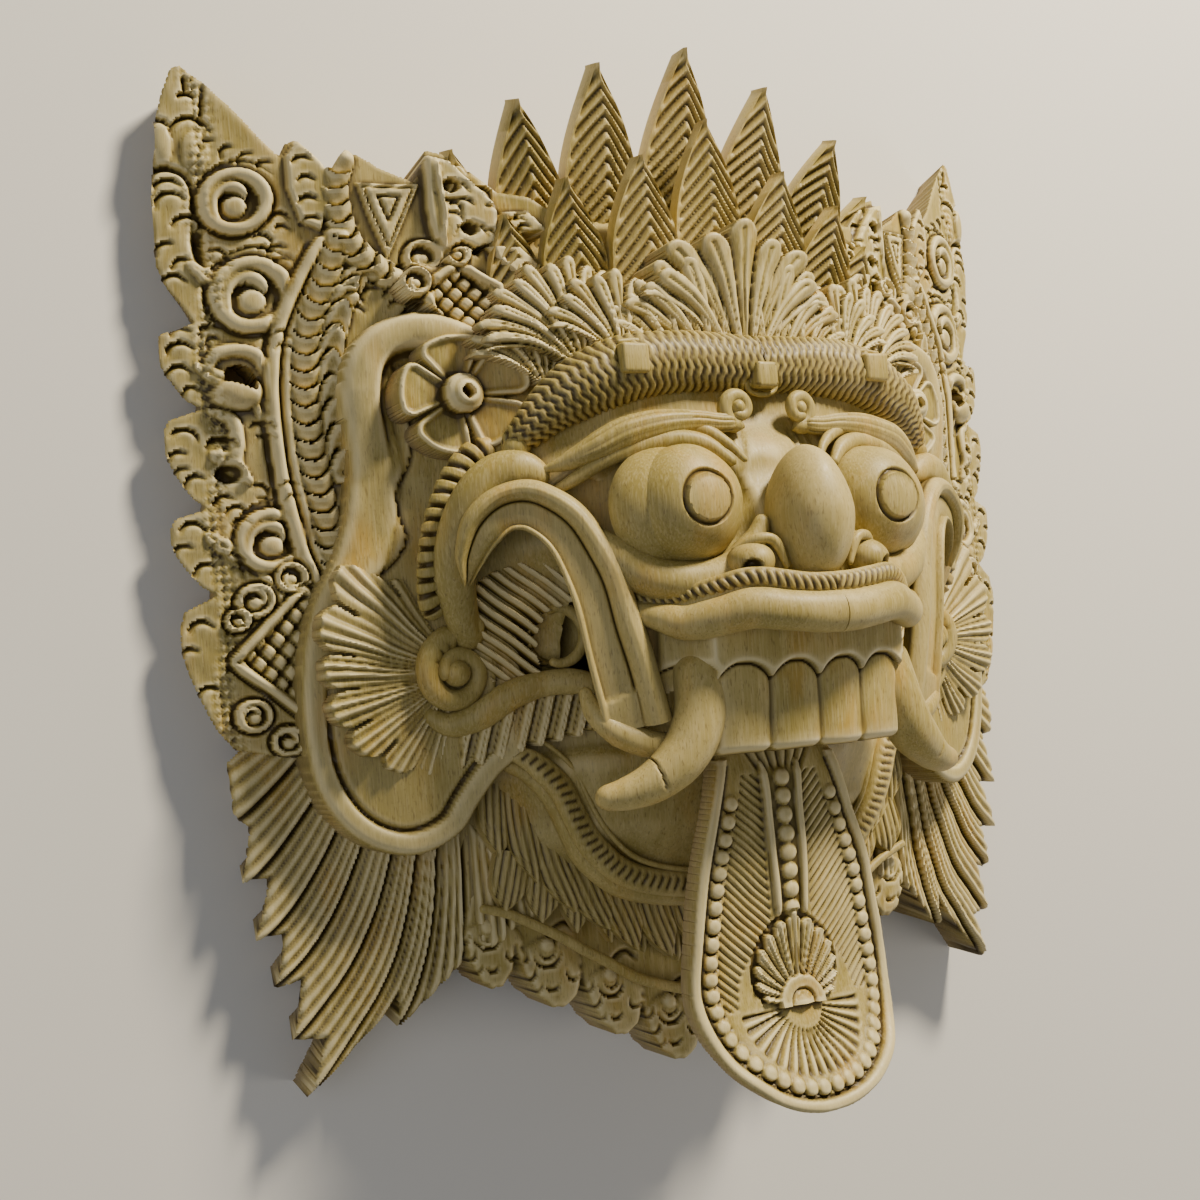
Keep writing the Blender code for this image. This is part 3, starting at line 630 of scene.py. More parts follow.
def wing_heights(x, y):
    plain = wing_face(x) + 0.4 * ripple(x, y, 6)
    rough = np.exp(-((x - 167 - 2 * np.sin(y / 9)) / 3.0) ** 2)
    plain = plain + 1.2 * rough * ripple(x, y, 0.8) - 0.8 * rough
    f = Field(x, y, plain)
    spine = splined([(131, 112), (140, 96), (146, 82), (148.5, 68), (149, 52), (148, 36),
                     (146, 20), (143, 6), (139, -4)])
    for a, b in ((106, 100), (72, 62), (14, 2)):
        sweep = splined([(171, a), (165, a - 5), (157, a - 9), (150, b - 10), (147, b - 18)])
        f.rib(sweep, 3.0, 2.6, groove=0.9)
    for cx, cy, radius, first, way in wing_scrolls:
        f.scroll(cx, cy, radius, first, way=way)
    for cx, cy, radius in ((155, 128, 13.5), (151.5, 96, 15.5), (151, 12, 13)):
        f.gouge(cx, cy, radius, 80, 1.6, 1.6, 75)
    f.rib(splined([(151, 58), (150, 66), (153, 73), (159, 76), (165, 75), (168, 70)]), 2.4,
          3.2)
    f.dome(159.5, 61, 8.4, 6.0, 6.5)
    f.rib(splined([(168, 56), (161.5, 52), (160.4, 45), (161.4, 37.5), (157.5, 31)]), 2.4, 3.2)
    f.hole(163, 34.5, 4.4, 3.4, 6.0)
    f.gouge(165, 42.5, 5.0, 90, 3.6, 2.6)
    f.dome(165.5, 40.5, 3.6, 2.8, 2.6)
    f.rib(spine, 2.3, 3.4)
    f.rib(spine - (4.4, 0), 1.8, 2.4)
    f.cut(spine - (2.3, 0), 0.9, 1.2)
    f.cut(spine + (3.2, 0), 1.3, 1.6)
    bead = splined([(127, 112), (132, 98), (137, 86), (139.5, 72), (140, 56), (139, 40),
                    (137.5, 24), (135, 8), (133, -2)])
    f.beads(bead - (0.8, 0), 4.6, 6.0, 4.2)
    coil = splined([(122, 98), (127, 88), (130.5, 74), (131, 60), (130.5, 46), (129.5, 32)])
    f.beads(coil, 4.0, 8.6, 4.4, lean=-0.8)
    for k in range(3, len(coil), 7):
        f.gouge(coil[k, 0], coil[k, 1], 3.0, 120, 1.8, 1.4)
    apex, left, right = (166, -29), (141, -3), (139, -54)
    for a, b in ((apex, left), (apex, right)):
        f.rib(np.array([a, b], float), 1.7, 3.6)
        f.cut(np.array([a, b], float) + (2.6, 0), 1.0, 1.8)
    f.raised([apex, left, right], 1.2)
    f.crossed([apex, left, right], 4.6, 2.4, (52, -52))
    for cx, cy, r, first in ((158, -9, 5.6, 30), (147, -2, 5.0, 200), (163.5, -15, 3.8, 90),
                             (161, -47, 5.4, 300), (151, -56, 5.0, 20), (142, -59, 4.2, 80)):
        f.scroll(cx, cy, r, first, rise=3.0, eye=0.4, pit=3.4)
    for k in range(5):
        arc = splined([(148 - 5 * k, -60 + 1.5 * k), (146 - 5 * k, -55 + k),
                       (141 - 5 * k, -53 + k), (138 - 5 * k, -57 + k)], 4)
        f.rib(arc, 1.5, 2.2)
    f.beads(splined([(124, 139), (126.5, 130), (125, 117), (121, 107), (113, 99),
                     (104, 95)]), 4.4, 5.8, 4.4)
    f.raised([(120, 131), (100, 129), (112, 103)], 3.0, 0.8, lines=2.2, pitch=3.2)
    f.raised([(99, 139), (91, 136), (83, 127), (77, 119), (78, 108), (86, 98), (97, 102),
              (99, 120)], 4.2, 0.9)
    for cx, cy in ((91, 127), (86.5, 112)):
        f.hole(cx, cy, 3.0, 2.6, 5.0)
        f.gouge(cx, cy - 3.0, 5.4, 90, 2.6, 2.0)
    f.rib(splined([(96, 137), (95, 128), (94, 119), (95, 110), (95, 103)]), 1.4, 5.8)
    for cx, cy, aim in ((87.5, 133, 120), (81.5, 124, 120), (80, 116.5, 140), (81, 108, 160),
                        (88.5, 119.5, 90), (89, 104, 90)):
        f.gouge(cx, cy, 3.6, aim, 2.6, 1.8)
    f.raised([(76, 118), (68, 118), (62, 110), (66, 102), (74, 104)], 3.4, 0.9)
    for k in range(3):
        f.gouge(70, 114.5 - 4.2 * k, 2.6, 70, 2.2, 1.6)
    f.raised([(137, 147), (129, 138), (127, 127), (131, 114), (137, 118), (141, 130),
              (141, 141)], 2.6, 0.9)
    for cx, cy in ((136, 138), (135, 131), (134.5, 124), (134, 117)):
        f.gouge(cx, cy, 3.2, 80, 2.4)
    f.scroll(101, 104, 5.6, 180, rise=3.2, eye=0.4)
    f.scroll(89, 101, 5.0, 40, rise=3.2, eye=0.4)
    f.cut(splined([(168.9, 172), (169, 168), (168.8, 164)]), 1.2, 2.4)
    f.cut(splined([(163.5, 168), (164.5, 161), (165.4, 153)]), 1.1, 1.8)
    f.cut(splined([(180.5, 139), (176, 139.5), (171.5, 137.5), (168.7, 131.6),
                   (168.5, 123)]), 1.5, 2.6)
    f.cut(splined([(167.8, 120), (168.2, 112), (166.5, 104)]), 2.6, 5.5)
    f.dome(177.5, 147.5, 3.4, 7.5, 2.2)
    f.dome(167.5, 145, 4.6, 7.0, 1.8)
    for cx, cy, r, aim, deep in ((168.9, 163, 2.8, 90, 3.6), (168.6, 150.5, 6.8, 90, 3.0),
                                 (178, 153.5, 3.6, 90, 3.0), (176.8, 136, 4.8, 70, 2.6),
                                 (176.3, 131.5, 5.0, 70, 2.8), (175.8, 126.8, 5.2, 70, 2.8),
                                 (171, 118.5, 5.2, 90, 3.0), (177.8, 111, 3.6, 50, 2.6),
                                 (176, 99, 4.4, 80, 3.0), (173, 105, 3.6, 60, 2.4),
                                 (163, 146, 3.4, 40, 2.0), (157.5, 143.5, 3.2, 40, 2.0),
                                 (152, 141, 3.2, 50, 2.0), (146.5, 138, 3.0, 60, 2.0),
                                 (175, 82, 3.4, 75, 2.6), (175.5, 76, 4.6, 80, 3.2),
                                 (176.5, 68, 4.6, 75, 3.0), (172.5, 62, 3.4, 60, 2.2),
                                 (176, 46.5, 4.6, 110, 3.2), (178, 40, 3.2, 70, 2.2),
                                 (173, 31, 3.8, 60, 2.6), (177, 35, 2.6, 60, 2.0),
                                 (175, 15, 4.4, 90, 3.0), (178, 9, 3.2, 70, 2.4),
                                 (172, 1.5, 3.8, 60, 2.6), (165, 24, 3.6, 60, 2.8),
                                 (174, -18, 4.2, 80, 2.6), (178, -26, 3.2, 70, 2.2),
                                 (173, -40, 4.0, 70, 2.4)):
        f.gouge(cx, cy, r, aim, deep)
    for k, (cx, cy) in enumerate(((144, 108), (143, 119), (149, 112), (163, 108), (166, 82),
                                  (146, 78), (153, 48), (155, 27), (146, 27), (162, 20),
                                  (143, -8), (164, 4), (118, 96), (110, 91), (123, 90),
                                  (92, 119), (72, 112), (108, 98))):
        f.gouge(cx, cy, 3.8, 60 + 23 * (k % 4), 2.3)
        f.gouge(cx - 0.8, cy - 3.6, 3.0, 60 + 23 * (k % 4), 1.8)
    return f.z


def fill_wings(bm):
    def inside(x, y):
        hole = within(x, y, EGG_HOLE) - 2.5
        return np.minimum(within(x, y, wing_line), -hole)

    relief(bm, (58, 184, -68, 178), 0.75, inside, wing_heights, level_at(0), undercut=5)


piece("mask_wings", fill_wings, both=True)


# Fans of long tail feathers under the ears. Pale wood, carved in one board a side: each
# feather laps over the next, with grooves along it and a slanted cut at its tip.

TAIL_ROOT = (60, -20)
TAIL_TEETH = [(169, -62), (163, -84), (158, -101), (155, -120), (150, -136), (144, -156)]
TAIL_TIPS = [(168, -79), (167, -102), (164, -121), (158, -138), (154, -156), (150.5, -176)]


def inside_of(outline):
    """Distance in from an outline, as relief asks for it."""
    return lambda x, y: within(x, y, outline)


def feather_place(x, y):
    """Which feather a spot lies on, counted down the fan, and how far across it."""
    reach, turn = polar(x, y, TAIL_ROOT)
    turn -= 0.06 * (reach - 120)
    turn -= 0.003 * np.maximum(145 - reach, 0) ** 2
    return np.interp(-turn, (10, 22, 31.9, 39.6, 46.5, 52.2, 58.3, 63.5, 68, 74, 90),
                     (0, 1, 2, 3, 4, 5, 6, 7, 8, 9, 11))


def tail_heights(x, y):
    place = feather_place(x, y)
    part = place % 1
    groove = np.abs((part * 4.0 + 0.5) % 1 - 0.5) * 2
    fade = np.clip((polar(x, y, TAIL_ROOT)[0] - 55) / 60, 0.25, 1)
    step = np.where(part < 0.92, part / 0.92, (1 - part) / 0.08)
    height = tail_face(x) + 3.0 * step + 2.2 * np.sin(np.pi * part) ** 0.6
    height -= 1.5 * fade * unit(1 - groove * 1.4)
    return height + 0.3 * ripple(x, y, 5)


def fill_tail(bm):
    line = [(140, -48), (160, -54)]
    for notch, tip in zip(TAIL_TEETH, TAIL_TIPS):
        line += [notch, tip]
    line += [(140, -166.5), (125, -152), (119, -145), (120, -157.5), (108, -146), (97, -136),
             (84, -132), (66, -120), (90, -92), (110, -60)]

    relief(bm, (64, 171, -178, -46), 0.78, inside_of(line), tail_heights, level_at(0),
           soft=2.2, undercut=7)


piece("mask_tail_feathers", fill_tail, both=True)


# Face: forehead, eye sockets, cheeks and jaw plate. The same pale wood, smoothly pared,
# with knife lines up the bridge of the nose and a sharp recess at each eye's corner.

def face_heights(x, y):
    side = np.abs(x)
    z = (head_height(x, y) * 2 + head_height(x, y + 2.5) + head_height(x, y - 2.5)
         + head_height(side + 2.5, y) + head_height(np.abs(side - 2.5), y)) / 6
    z += 0.25 * ripple(x, y, 7)
    f = Field(side, y, z)
    socket = np.hypot((side - 40) / 27, (y - 10) / 25)
    z -= 9 * unit(1 - socket) ** 0.5
    corner = [(79, 18), (66, 26), (58, 20), (60, 4), (66, 6)]
    spots = f.pick(corner, 1)
    z[spots] -= 6 * unit(within(side[spots], y[spots], corner) / 3)
    for k in range(3):
        f.cut(splined([(9 + 4.2 * k, 40), (12 + 3.4 * k, 30), (15.5 + 2.2 * k, 20),
                       (17 + 1.2 * k, 8)]), 1.9, 1.3)
    for k in range(6):
        f.cut(splined([(70 + 3 * k, 24 + 1.5 * k), (62 + 3 * k, 10), (62 + 2 * k, 0)]), 1.0,
              0.5)
    return f.z


FACE = [(0, 66), (40, 64), (62, 56), (80, 40), (92, 34), (102, 22), (108, 4), (107, -14),
        (98, -30), (92, -50), (86, -64), (78, -69), (70, -77), (65, -88), (60, -97),
        (54, -104), (45, -111), (32, -115.5), (0, -117)]
face_line = FACE + [(-x, y) for x, y in FACE[::-1]]


def fill_face(bm):
    def inside(x, y):
        return np.minimum(within(x, y, face_line), -within(np.abs(x), y, CHEEK_GAP))

    def low(x, y):
        return np.maximum(hollow_height(x, y) + 4, 30)

    relief(bm, (-110, 110, -119, 68), 1.2, inside, face_heights, low)


piece("mask_face", fill_face)


# Long ears, one each side. Pale wood: a looped lobe with a broad smooth rim, a groove
# inside the rim at the lobe, and a wavy fold that runs down beside the comb.

ear_loop = splined([(80, 70), (87, 77), (95, 81.5), (104, 83.5), (113, 83), (121, 79.5),
                    (127, 73), (130, 65), (131, 54), (130, 43), (129.5, 33), (130.5, 24),
                    (133, 12), (137, 1), (143, -12), (147, -27), (148.5, -43), (148, -58),
                    (145.5, -72), (140, -84), (131, -92.5), (121, -96.5), (111, -95.5),
                    (102, -90.5), (96, -82), (89, -73), (80, -66)])


def ear_heights(x, y):
    deep = within(x, y, ear_loop)
    lobe_rim = peak(deep - 3.6, 4.0)
    low_down = unit((-30 - y) / 25)
    high_up = unit((y - 28) / 30)
    z = ear_face(x) + 0.25 * ripple(x, y, 8)
    z += 2.4 * round_over((deep - 7) / 9) * (1 - low_down)
    z += low_down * (1.6 * round_over(1 - lobe_rim)
                     - 1.9 * peak(deep - 8.2, 1.3))
    z += high_up * (4.0 * round_over((deep - 6) / 7) - 3.5
                    * unit((deep - 11) / 2))
    z += low_down * 1.2 * unit((deep - 9) / 22)
    f = Field(x, y, z)
    fold = splined([(112, 62), (109, 50), (109, 42), (111, 33), (116, 24), (115, 16),
                    (113, 8), (117, 1), (124, -4), (130, -6)])
    spots = f.pick(fold, 9)
    away, _, side = near(f.x[spots], f.y[spots], fold)
    f.z[spots] += np.where(side > 0, 1.6 * unit(1 - away / 9), 0)
    f.cut(fold, 1.8, 0.9)
    return f.z


def fill_ears(bm):
    def low(x, y):
        return np.maximum(ear_face(x) - 24, 14)

    relief(bm, (78, 150, -98, 86), 0.95, inside_of(ear_loop), ear_heights, low, soft=2.6)


piece("mask_ears", fill_ears, both=True)


# Flowers on the ears. Pale wood: five dished petals that stand clear of each other round
# a drilled cone.

FLOWER = (96, 54)


def petal_place(x, y):
    """Distance out from the flower's middle and across its nearest petal."""
    reach, turn = polar(x, y, FLOWER)
    turn = (turn - 80 + 36) % 72 - 36
    return reach, reach * np.sin(np.radians(turn)), reach * np.cos(np.radians(turn))


def fill_flowers(bm):
    def petal(x, y):
        reach, across, out = petal_place(x, y)
        wide = 1.2 + 0.56 * out
        edge = 20.5 - 0.03 * across ** 2 - out
        corner = np.hypot(np.maximum(5 - (wide - np.abs(across)), 0),
                          np.maximum(5 - edge, 0))
        return np.minimum(np.minimum(wide - np.abs(across), edge), 5 - corner)

    def inside(x, y):
        return np.maximum(petal(x, y), 6.5 - petal_place(x, y)[0])

    def top(x, y):
        reach, across, out = petal_place(x, y)
        deep = petal(x, y)
        z = 64 - 0.24 * (x - FLOWER[0]) + 0.36 * np.maximum(FLOWER[0] - x, 0)
        z += 1.4 * peak(deep - 1.2, 1.8)
        z += 0.09 * (out - 12) + 0.2 * ripple(x, y, 4)
        cone = 72 - 0.9 * np.maximum(reach - 3.2, 0)
        cone = np.where(reach < 2.1, 66, cone)
        return np.where(reach < 6.5, np.maximum(cone, z), z)

    def low(x, y):
        return 54 - 0.3 * (x - FLOWER[0])

    relief(bm, (74, 118, 32, 76), 0.5, inside, top, low, soft=1.0)


piece("mask_ear_flowers", fill_flowers, both=True)


# Palm leaves and fringe below the ears' spirals. Pale wood: blunt leaves spread from the
# spiral, each with fine grooves along it; a fringe of short leaves goes on to the jaw.

PALM = (101, -38)
palm_turns = (-140, -119, -96, -76, -55, -35, -14, 5, 22, 48, 70)
palm_reach = (30, 31, 31, 33, 36, 39, 41, 41.5, 45, 50, 30)


def palm_place(x, y):
    """Distance out, which leaf, its length and the direction, from the spiral's middle."""
    far, turn = polar(x, y, PALM)
    place = np.interp(turn, palm_turns, range(len(palm_turns)))
    reach = np.interp(place, range(len(palm_turns)), palm_reach)
    return far, place, reach, turn


def fill_palm(bm):
    def inside(x, y):
        far, place, reach, turn = palm_place(x, y)
        part = np.abs((place + 0.5) % 1 - 0.5) * 2
        tip = reach * (1 - 0.20 * unit(part - 0.35) ** 1.5) + 1.5
        tip = np.where(part > 0.94, reach * 0.78, tip)
        sides = np.minimum(turn + 130, 66 - turn) * 0.5
        return np.minimum(np.minimum(tip - far, sides), far - 6)

    def top(x, y):
        far, place, reach, _ = palm_place(x, y)
        part = (place + 0.5) % 1 - 0.5
        z = 54 - 0.2 * (far - 12) + 1.9 * (1 - (part * 2) ** 2)
        for at in (-0.24, 0.02, 0.27):
            z -= 1.3 * unit(1 - np.abs(part - at) * 9)
        return z + 0.2 * ripple(x, y, 4)

    relief(bm, (76, 150, -76, 12), 0.62, inside, top, level_at(36))

    def fringe_inside(x, y):
        edge = np.interp(x, (52, 56, 66, 80, 92, 100), (-63, -61, -63, -65, -69, -70))
        part = np.abs((x / 6.1 + 0.1 * np.sin(x)) % 1 - 0.5) * 2
        bottom = y - (edge + 3.4 * unit(part - 0.3) ** 1.3 * 1.6)
        roof = np.interp(x, (52, 66, 80, 96, 102), (-46, -44, -46, -52, -54)) - y
        return np.minimum(np.minimum(bottom, roof), np.minimum(x - 53, 101 - x))

    def fringe_top(x, y):
        lean = x + 0.25 * (y + 55)
        part = (lean / 6.1 + 0.1 * np.sin(lean)) % 1
        step = np.where(part < 0.84, part / 0.84, (1 - part) / 0.16)
        z = 75 - 0.36 * (x - 56) - 0.1 * (-50 - y) - 2.0 * step
        z -= 0.9 * v_line(lean / 2.03, 4)
        return z + 0.25 * ripple(x, y, 3)

    relief(bm, (52, 102, -72, -43), 0.55, fringe_inside, fringe_top, level_at(36))


piece("mask_palm_leaves", fill_palm, both=True)


# Spirals, combs, cheek frames and smooth bands round the hollow cheeks. Pale wood: rounded
# mouldings, the comb cut in slanted blocks, the spiral wound round a knob.

def loft(bm, nu, nv, shape, seam=True):
    """A closed skin: shape gives places and painted shade amounts (below 0: painted highlight)
    for shares along and around.
    """
    made = bmesh.ops.create_grid(bm, x_segments=nu, y_segments=nv, size=0.5)["verts"]
    flat = np.array([v.co[:2] for v in made])
    u, v = flat[:, 0] + 0.5, flat[:, 1] + 0.5
    if seam:
        v = np.where(v > 1 - 0.5 / nv, 0.0, v)
    spots, cut = shape(u, v)
    for vert, spot in zip(made, spots):
        vert.co = spot
    set_layers(bm, made, np.clip(cut, -1, 1))
    faces = set(f for v in made for f in v.link_faces)
    bmesh.ops.remove_doubles(bm, verts=made, dist=0.003)
    faces = [f for f in faces if f.is_valid]
    edges = list(set(e for f in faces for e in f.edges if e.is_boundary))
    if edges:
        faces += bmesh.ops.holes_fill(bm, edges=edges, sides=0)["faces"]
    bmesh.ops.recalc_face_normals(bm, faces=faces)


def run_of(line):
    """Length along a line up to each of its points."""
    return np.concatenate([[0], np.cumsum(np.linalg.norm(np.diff(line, axis=0), axis=1))])


def rail(line, done, at, reach, face_out):
    """Middle, side and outward direction at lengths along a line."""
    centre, after, before = (
        np.column_stack([np.interp(place, done, line[:, k]) for k in range(3)])
        for place in (at, at + reach, at - reach))
    side = np.cross(after - before, np.array(face_out, float))
    side /= np.linalg.norm(side, axis=1)[:, None]
    out = np.cross(side, after - before)
    return centre, side, out / np.linalg.norm(out, axis=1)[:, None]


def tube(bm, path, radius, nv=14, flat=1.0, step=1.0, dress=None, caps=(True, True),
         face_out=(0, 0, 1)):
    """A rounded moulding along a line in space; dress changes its radius in places."""
    line = splined(path, 8)
    done = run_of(line)
    total = done[-1]
    nu = max(6, int(total / step))

    def shape(u, v):
        u = unit(0.5 - 0.5 * np.cos(np.pi * u)) * 0.35 + u * 0.65
        at = u * total
        centre, side, lift = rail(line, done, at, 0.5, face_out)
        r = np.interp(u, np.linspace(0, 1, len(radius)), radius)
        cap = np.ones(u.shape)
        for closed, gap in zip(caps, (at, total - at)):
            if closed:
                cap = np.where(gap < r, np.minimum(cap, round_over(1 - gap / r)), cap)
        turn = 2 * np.pi * v
        across, out = np.cos(turn), np.sin(turn)
        drop = dress(at, across, out, u) if dress else 0 * u
        full = r * cap - drop * cap
        spots = (centre + side * (full * across)[:, None]
                 + lift * (full * flat * out)[:, None])
        # Painted shade in the grooves that dress cuts, a faint painted highlight elsewhere.
        return spots, drop / 1.3 - 0.06

    loft(bm, nu, nv, shape)


def v_cut(value, width):
    """Depth share of a V cut where value passes a whole number."""
    return peak((value + 0.5) % 1 - 0.5, width)


def fill_cheeks(bm):
    comb = [(82, 33, 67), (90, 34.5, 66), (97, 30, 65.5), (102.5, 22, 65), (107, 11, 64),
            (109.5, -1, 63), (110, -12, 61), (108, -20, 59)]
    tube(bm, comb, (5, 5.6, 5.6, 5.4, 5.4, 5, 4.6), 20, 0.75, 0.5,
         lambda at, a, o, u: 3.4 * v_cut(at / 4.7 + 0.2 * a, 0.24) * (o > -0.5)
         * (0.75 + 0.35 * np.sin(at * 1.9)))
    tube(bm, [(76, 22, 86), (84, 26, 82), (92, 24.5, 78), (98.5, 17, 74), (102, 6, 69),
              (103, -7, 65), (100, -19, 61), (94, -30, 57)],
         (3, 7, 7.5, 7.5, 7.5, 7, 6, 5), 20, 0.8)
    tube(bm, [(112, -50, 53), (104, -55, 55), (95, -53, 59), (86, -47, 64), (76, -44, 68),
              (66, -44, 73), (58, -46, 77)], (2.5, 4.5, 5, 5, 4.5, 4.5, 3.5), 18, 0.8)
    t = np.linspace(0, 1, 26)
    turn = np.radians(120) - 2 * np.pi * 1.42 * t
    reach = 12.5 - 8.8 * t
    coil = np.column_stack([PALM[0] + 1.5 * t + reach * np.cos(turn),
                            PALM[1] + reach * np.sin(turn), 56 + 4.5 * t])
    tube(bm, [(101, -20, 60), (94, -23, 60)] + list(map(tuple, coil)),
         (2.5, 3.6, 4.6, 4.4, 3.8, 3.2, 2.8, 2.4), 16, 1.0, 0.8,
         lambda at, a, o, u: 0.9 * v_cut(at / 4.2, 0.22) * (a > 0.2) * (u < 0.4))
    ball(bm, (PALM[0] + 1.5, PALM[1], 60), (4.6, 4.6, 4.5))
    ball(bm, (PALM[0], PALM[1], 50), (14, 14, 5))


def ball(bm, centre, radii, nu=16, nv=20, dress=None):
    """A rounded knob."""
    def shape(u, v):
        lat, turn = np.pi * (u - 0.5), 2 * np.pi * v
        way = np.column_stack([np.cos(lat) * np.cos(turn), np.cos(lat) * np.sin(turn),
                               np.sin(lat)])
        drop = dress(way) if dress else 0 * u
        # Painted shade where dress sinks the knob, as in the drilled nostrils.
        return np.array(centre) + way * np.array(radii) * (1 - drop)[:, None], drop * 4

    loft(bm, nu, nv, shape)


piece("mask_cheek_mouldings", fill_cheeks, both=True)


# Tufts and round sockets in the hollow cheeks. Pale wood: nine slanting grooves on a low
# block, and a dished round socket with a lip.

SOCKET = (69.5, -28)


def fill_tufts(bm):
    tuft = [(99, -26), (97, -12), (90, -6), (82, -3), (74, -2), (66, -4), (62, -10),
            (63, -16), (74, -20), (77, -27), (77, -35), (73, -42), (90, -42)]

    def top(x, y):
        across = 0.66 * x - 0.75 * y
        z = 76 - 0.5 * (x - 66) + 0.12 * (y + 20) + 2.6 * v_cut(across / 3.5, 0.5) - 1.6
        return z - 3.2 * v_cut(across / 3.5 + 0.5, 0.3)

    relief(bm, (60, 100, -44, 0), 0.5, inside_of(tuft), top, level_at(42))
    ring = [(SOCKET[0] + 8.4 * np.cos(a), SOCKET[1] + 9.5 * np.sin(a), 71 - 1.6 * np.cos(a))
            for a in np.radians(np.arange(60, 330, 30))]
    tube(bm, ring, (1.4, 2.1, 2.1, 2.1, 1.4), 12)

    def dish(x, y):
        return 9.5 - np.hypot(x - SOCKET[0], (y - SOCKET[1]) * 0.9)

    def dish_top(x, y):
        return 58 + 0.11 * polar(x, y, SOCKET)[0] ** 2

    relief(bm, (58, 82, -40, -16), 0.7, dish, dish_top, level_at(44))


piece("mask_cheek_tufts", fill_tufts, both=True)


# Curved straps from the temples to the jaw. Pale wood: a rounded outer band, a groove and
# a sunk inner panel with a thin raised edge; a turned-up lip forms the foot.

OPEN_END = (True, False)


def two_sides(v, share):
    """Whether a spot is on the front, and its place across, for shares round a skin."""
    front = v < share
    return front, np.where(front, -1 + 2 * v / share, 1 - 2 * (v - share) / (1 - share))


def fill_straps(bm):
    line = splined([(101, -9, 70), (101.5, -1, 75), (98.5, 8, 80), (92, 13.5, 84),
                    (83.5, 13, 89), (75, 4.5, 94), (68.5, -11, 98), (64.5, -30, 100),
                    (60.5, -48, 100), (58, -59.5, 99)], 10)
    done = run_of(line)
    total = done[-1]
    shares = np.array([-1, -0.97, -0.9, -0.82, -0.78, -0.7, -0.4, 0.0, 0.06, 0.12, 0.2, 0.4,
                       0.6, 0.8, 0.93, 1.0])
    rises = np.array([1.4, 2.8, 3.0, 2.6, 0.4, 0.7, 1.1, 1.0, 0.9, -0.4, 2.6, 4.0, 4.3, 3.4,
                      1.8, -0.6])

    def shape(u, v):
        at = u * total
        centre, side, out = rail(line, done, at, 1, (0.42, 0, 0.9))
        front, s = two_sides(v, 0.72)
        h = np.where(front, np.interp(s, shares, rises), -4.5 + 1.5 * np.abs(s) ** 3)
        panel = unit((total - 9 - 2.5 * (1 - np.abs(s)) - at) / 0.9)
        panel = np.where((s > 0.16) | (s < -0.8), 1, panel)
        h = np.where(front, h * panel + 2.3 * (1 - panel), h)
        wide = 9.6 * np.interp(u, (0, 0.07, 0.16, 0.3, 0.5, 1),
                               (0.12, 0.5, 0.76, 0.86, 0.98, 1.18))
        # Painted shade where the face lies low (groove, sunk panel), a faint painted highlight
        # where it stands high and on the back.
        cut = np.where(front, np.clip((0.75 - h) / 1.1, -0.1, 0.7), -0.1)
        return centre + side * (wide * s)[:, None] + out * h[:, None], cut

    loft(bm, 110, 64, shape)
    foot = [(71.5, -46, 90), (70, -54.5, 92.5), (65, -60.5, 95.5), (57, -64.5, 98),
            (47.5, -67.5, 99)]
    tube(bm, foot, (1.8, 3.4, 4.4, 4.8, 4.8), 24, 1.0, 0.7, None, OPEN_END)
    tube(bm, [(57, -57, 94), (53, -60, 84), (50, -62, 70)], (5.5, 6, 7), 14, 1, 2)


piece("mask_cheek_straps", fill_straps, both=True)


# Eyes with lids. Pale wood, smoothly rounded: balls with a raised flat pupil in a groove,
# a second lid line behind them, thick lids that run out to a point at the temple.

EYE = (38.5, 11)


def fill_eyes(bm):
    def bulge(x0, y0, base, radius, tall, marks):
        def shape(u, v):
            lat, turn = (np.pi / 2) * (1 - u), 2 * np.pi * v
            far = radius * np.cos(lat)
            x, y = x0 + far * np.cos(turn), y0 + far * np.sin(turn)
            z = base + tall * np.sin(lat)
            cut = 0 * u - 0.04
            if marks:
                spot = np.hypot(x - EYE[0], y - EYE[1] - 0.3)
                ring = peak(spot - 8.6, 1.1)
                z = z - 1.5 * ring + np.where(spot < 7.8, 0.3, 0)
                z = np.where(spot < 7.8, np.maximum(z, base + tall - 0.9), z)
                # Painted shade in the groove round the pupil, a faint painted highlight on the
                # ball's front.
                cut = 0.9 * ring - 0.1 * unit(2 * np.sin(lat) - 1)
            return np.column_stack([x, y, z]), cut

        loft(bm, 64 if marks else 24, 110 if marks else 48, shape)

    bulge(EYE[0] - 0.4, EYE[1] - 0.4, 106, 19.8, 16.9, True)
    bulge(EYE[0] + 4.6, EYE[1] - 0.8, 101, 20.6, 15.0, False)
    tube(bm, [(78, 14, 84), (71, 8, 91), (64, -1, 97), (53, -11.5, 104), (40, -15, 110),
              (28, -12, 114), (19, -3, 116), (15, 6, 117)],
         (0.8, 3, 5.5, 7, 7, 6, 5, 2), 20, 0.95)
    tube(bm, [(79, 16, 84), (70, 21, 91), (60, 27.5, 96.5), (48, 31.5, 101), (37, 32.5, 104),
              (27, 29.5, 107.5), (20, 23, 111)], (0.8, 2.2, 3, 3.4, 3.4, 3, 1.5), 16, 1)
    tube(bm, [(70, 26, 88), (58, 33, 95), (44, 37, 100), (30, 36.5, 103.5), (20, 31, 107),
              (15, 24, 110)], (1, 2.2, 2.6, 2.6, 2.2, 1), 14, 0.9)


piece("mask_eyes", fill_eyes, both=True)


# Brows, hair roll and jewels. Pale wood: smooth crescent brows that end in scrolls, over
# them a roll of short wavy chisel marks with square-cut jewels.

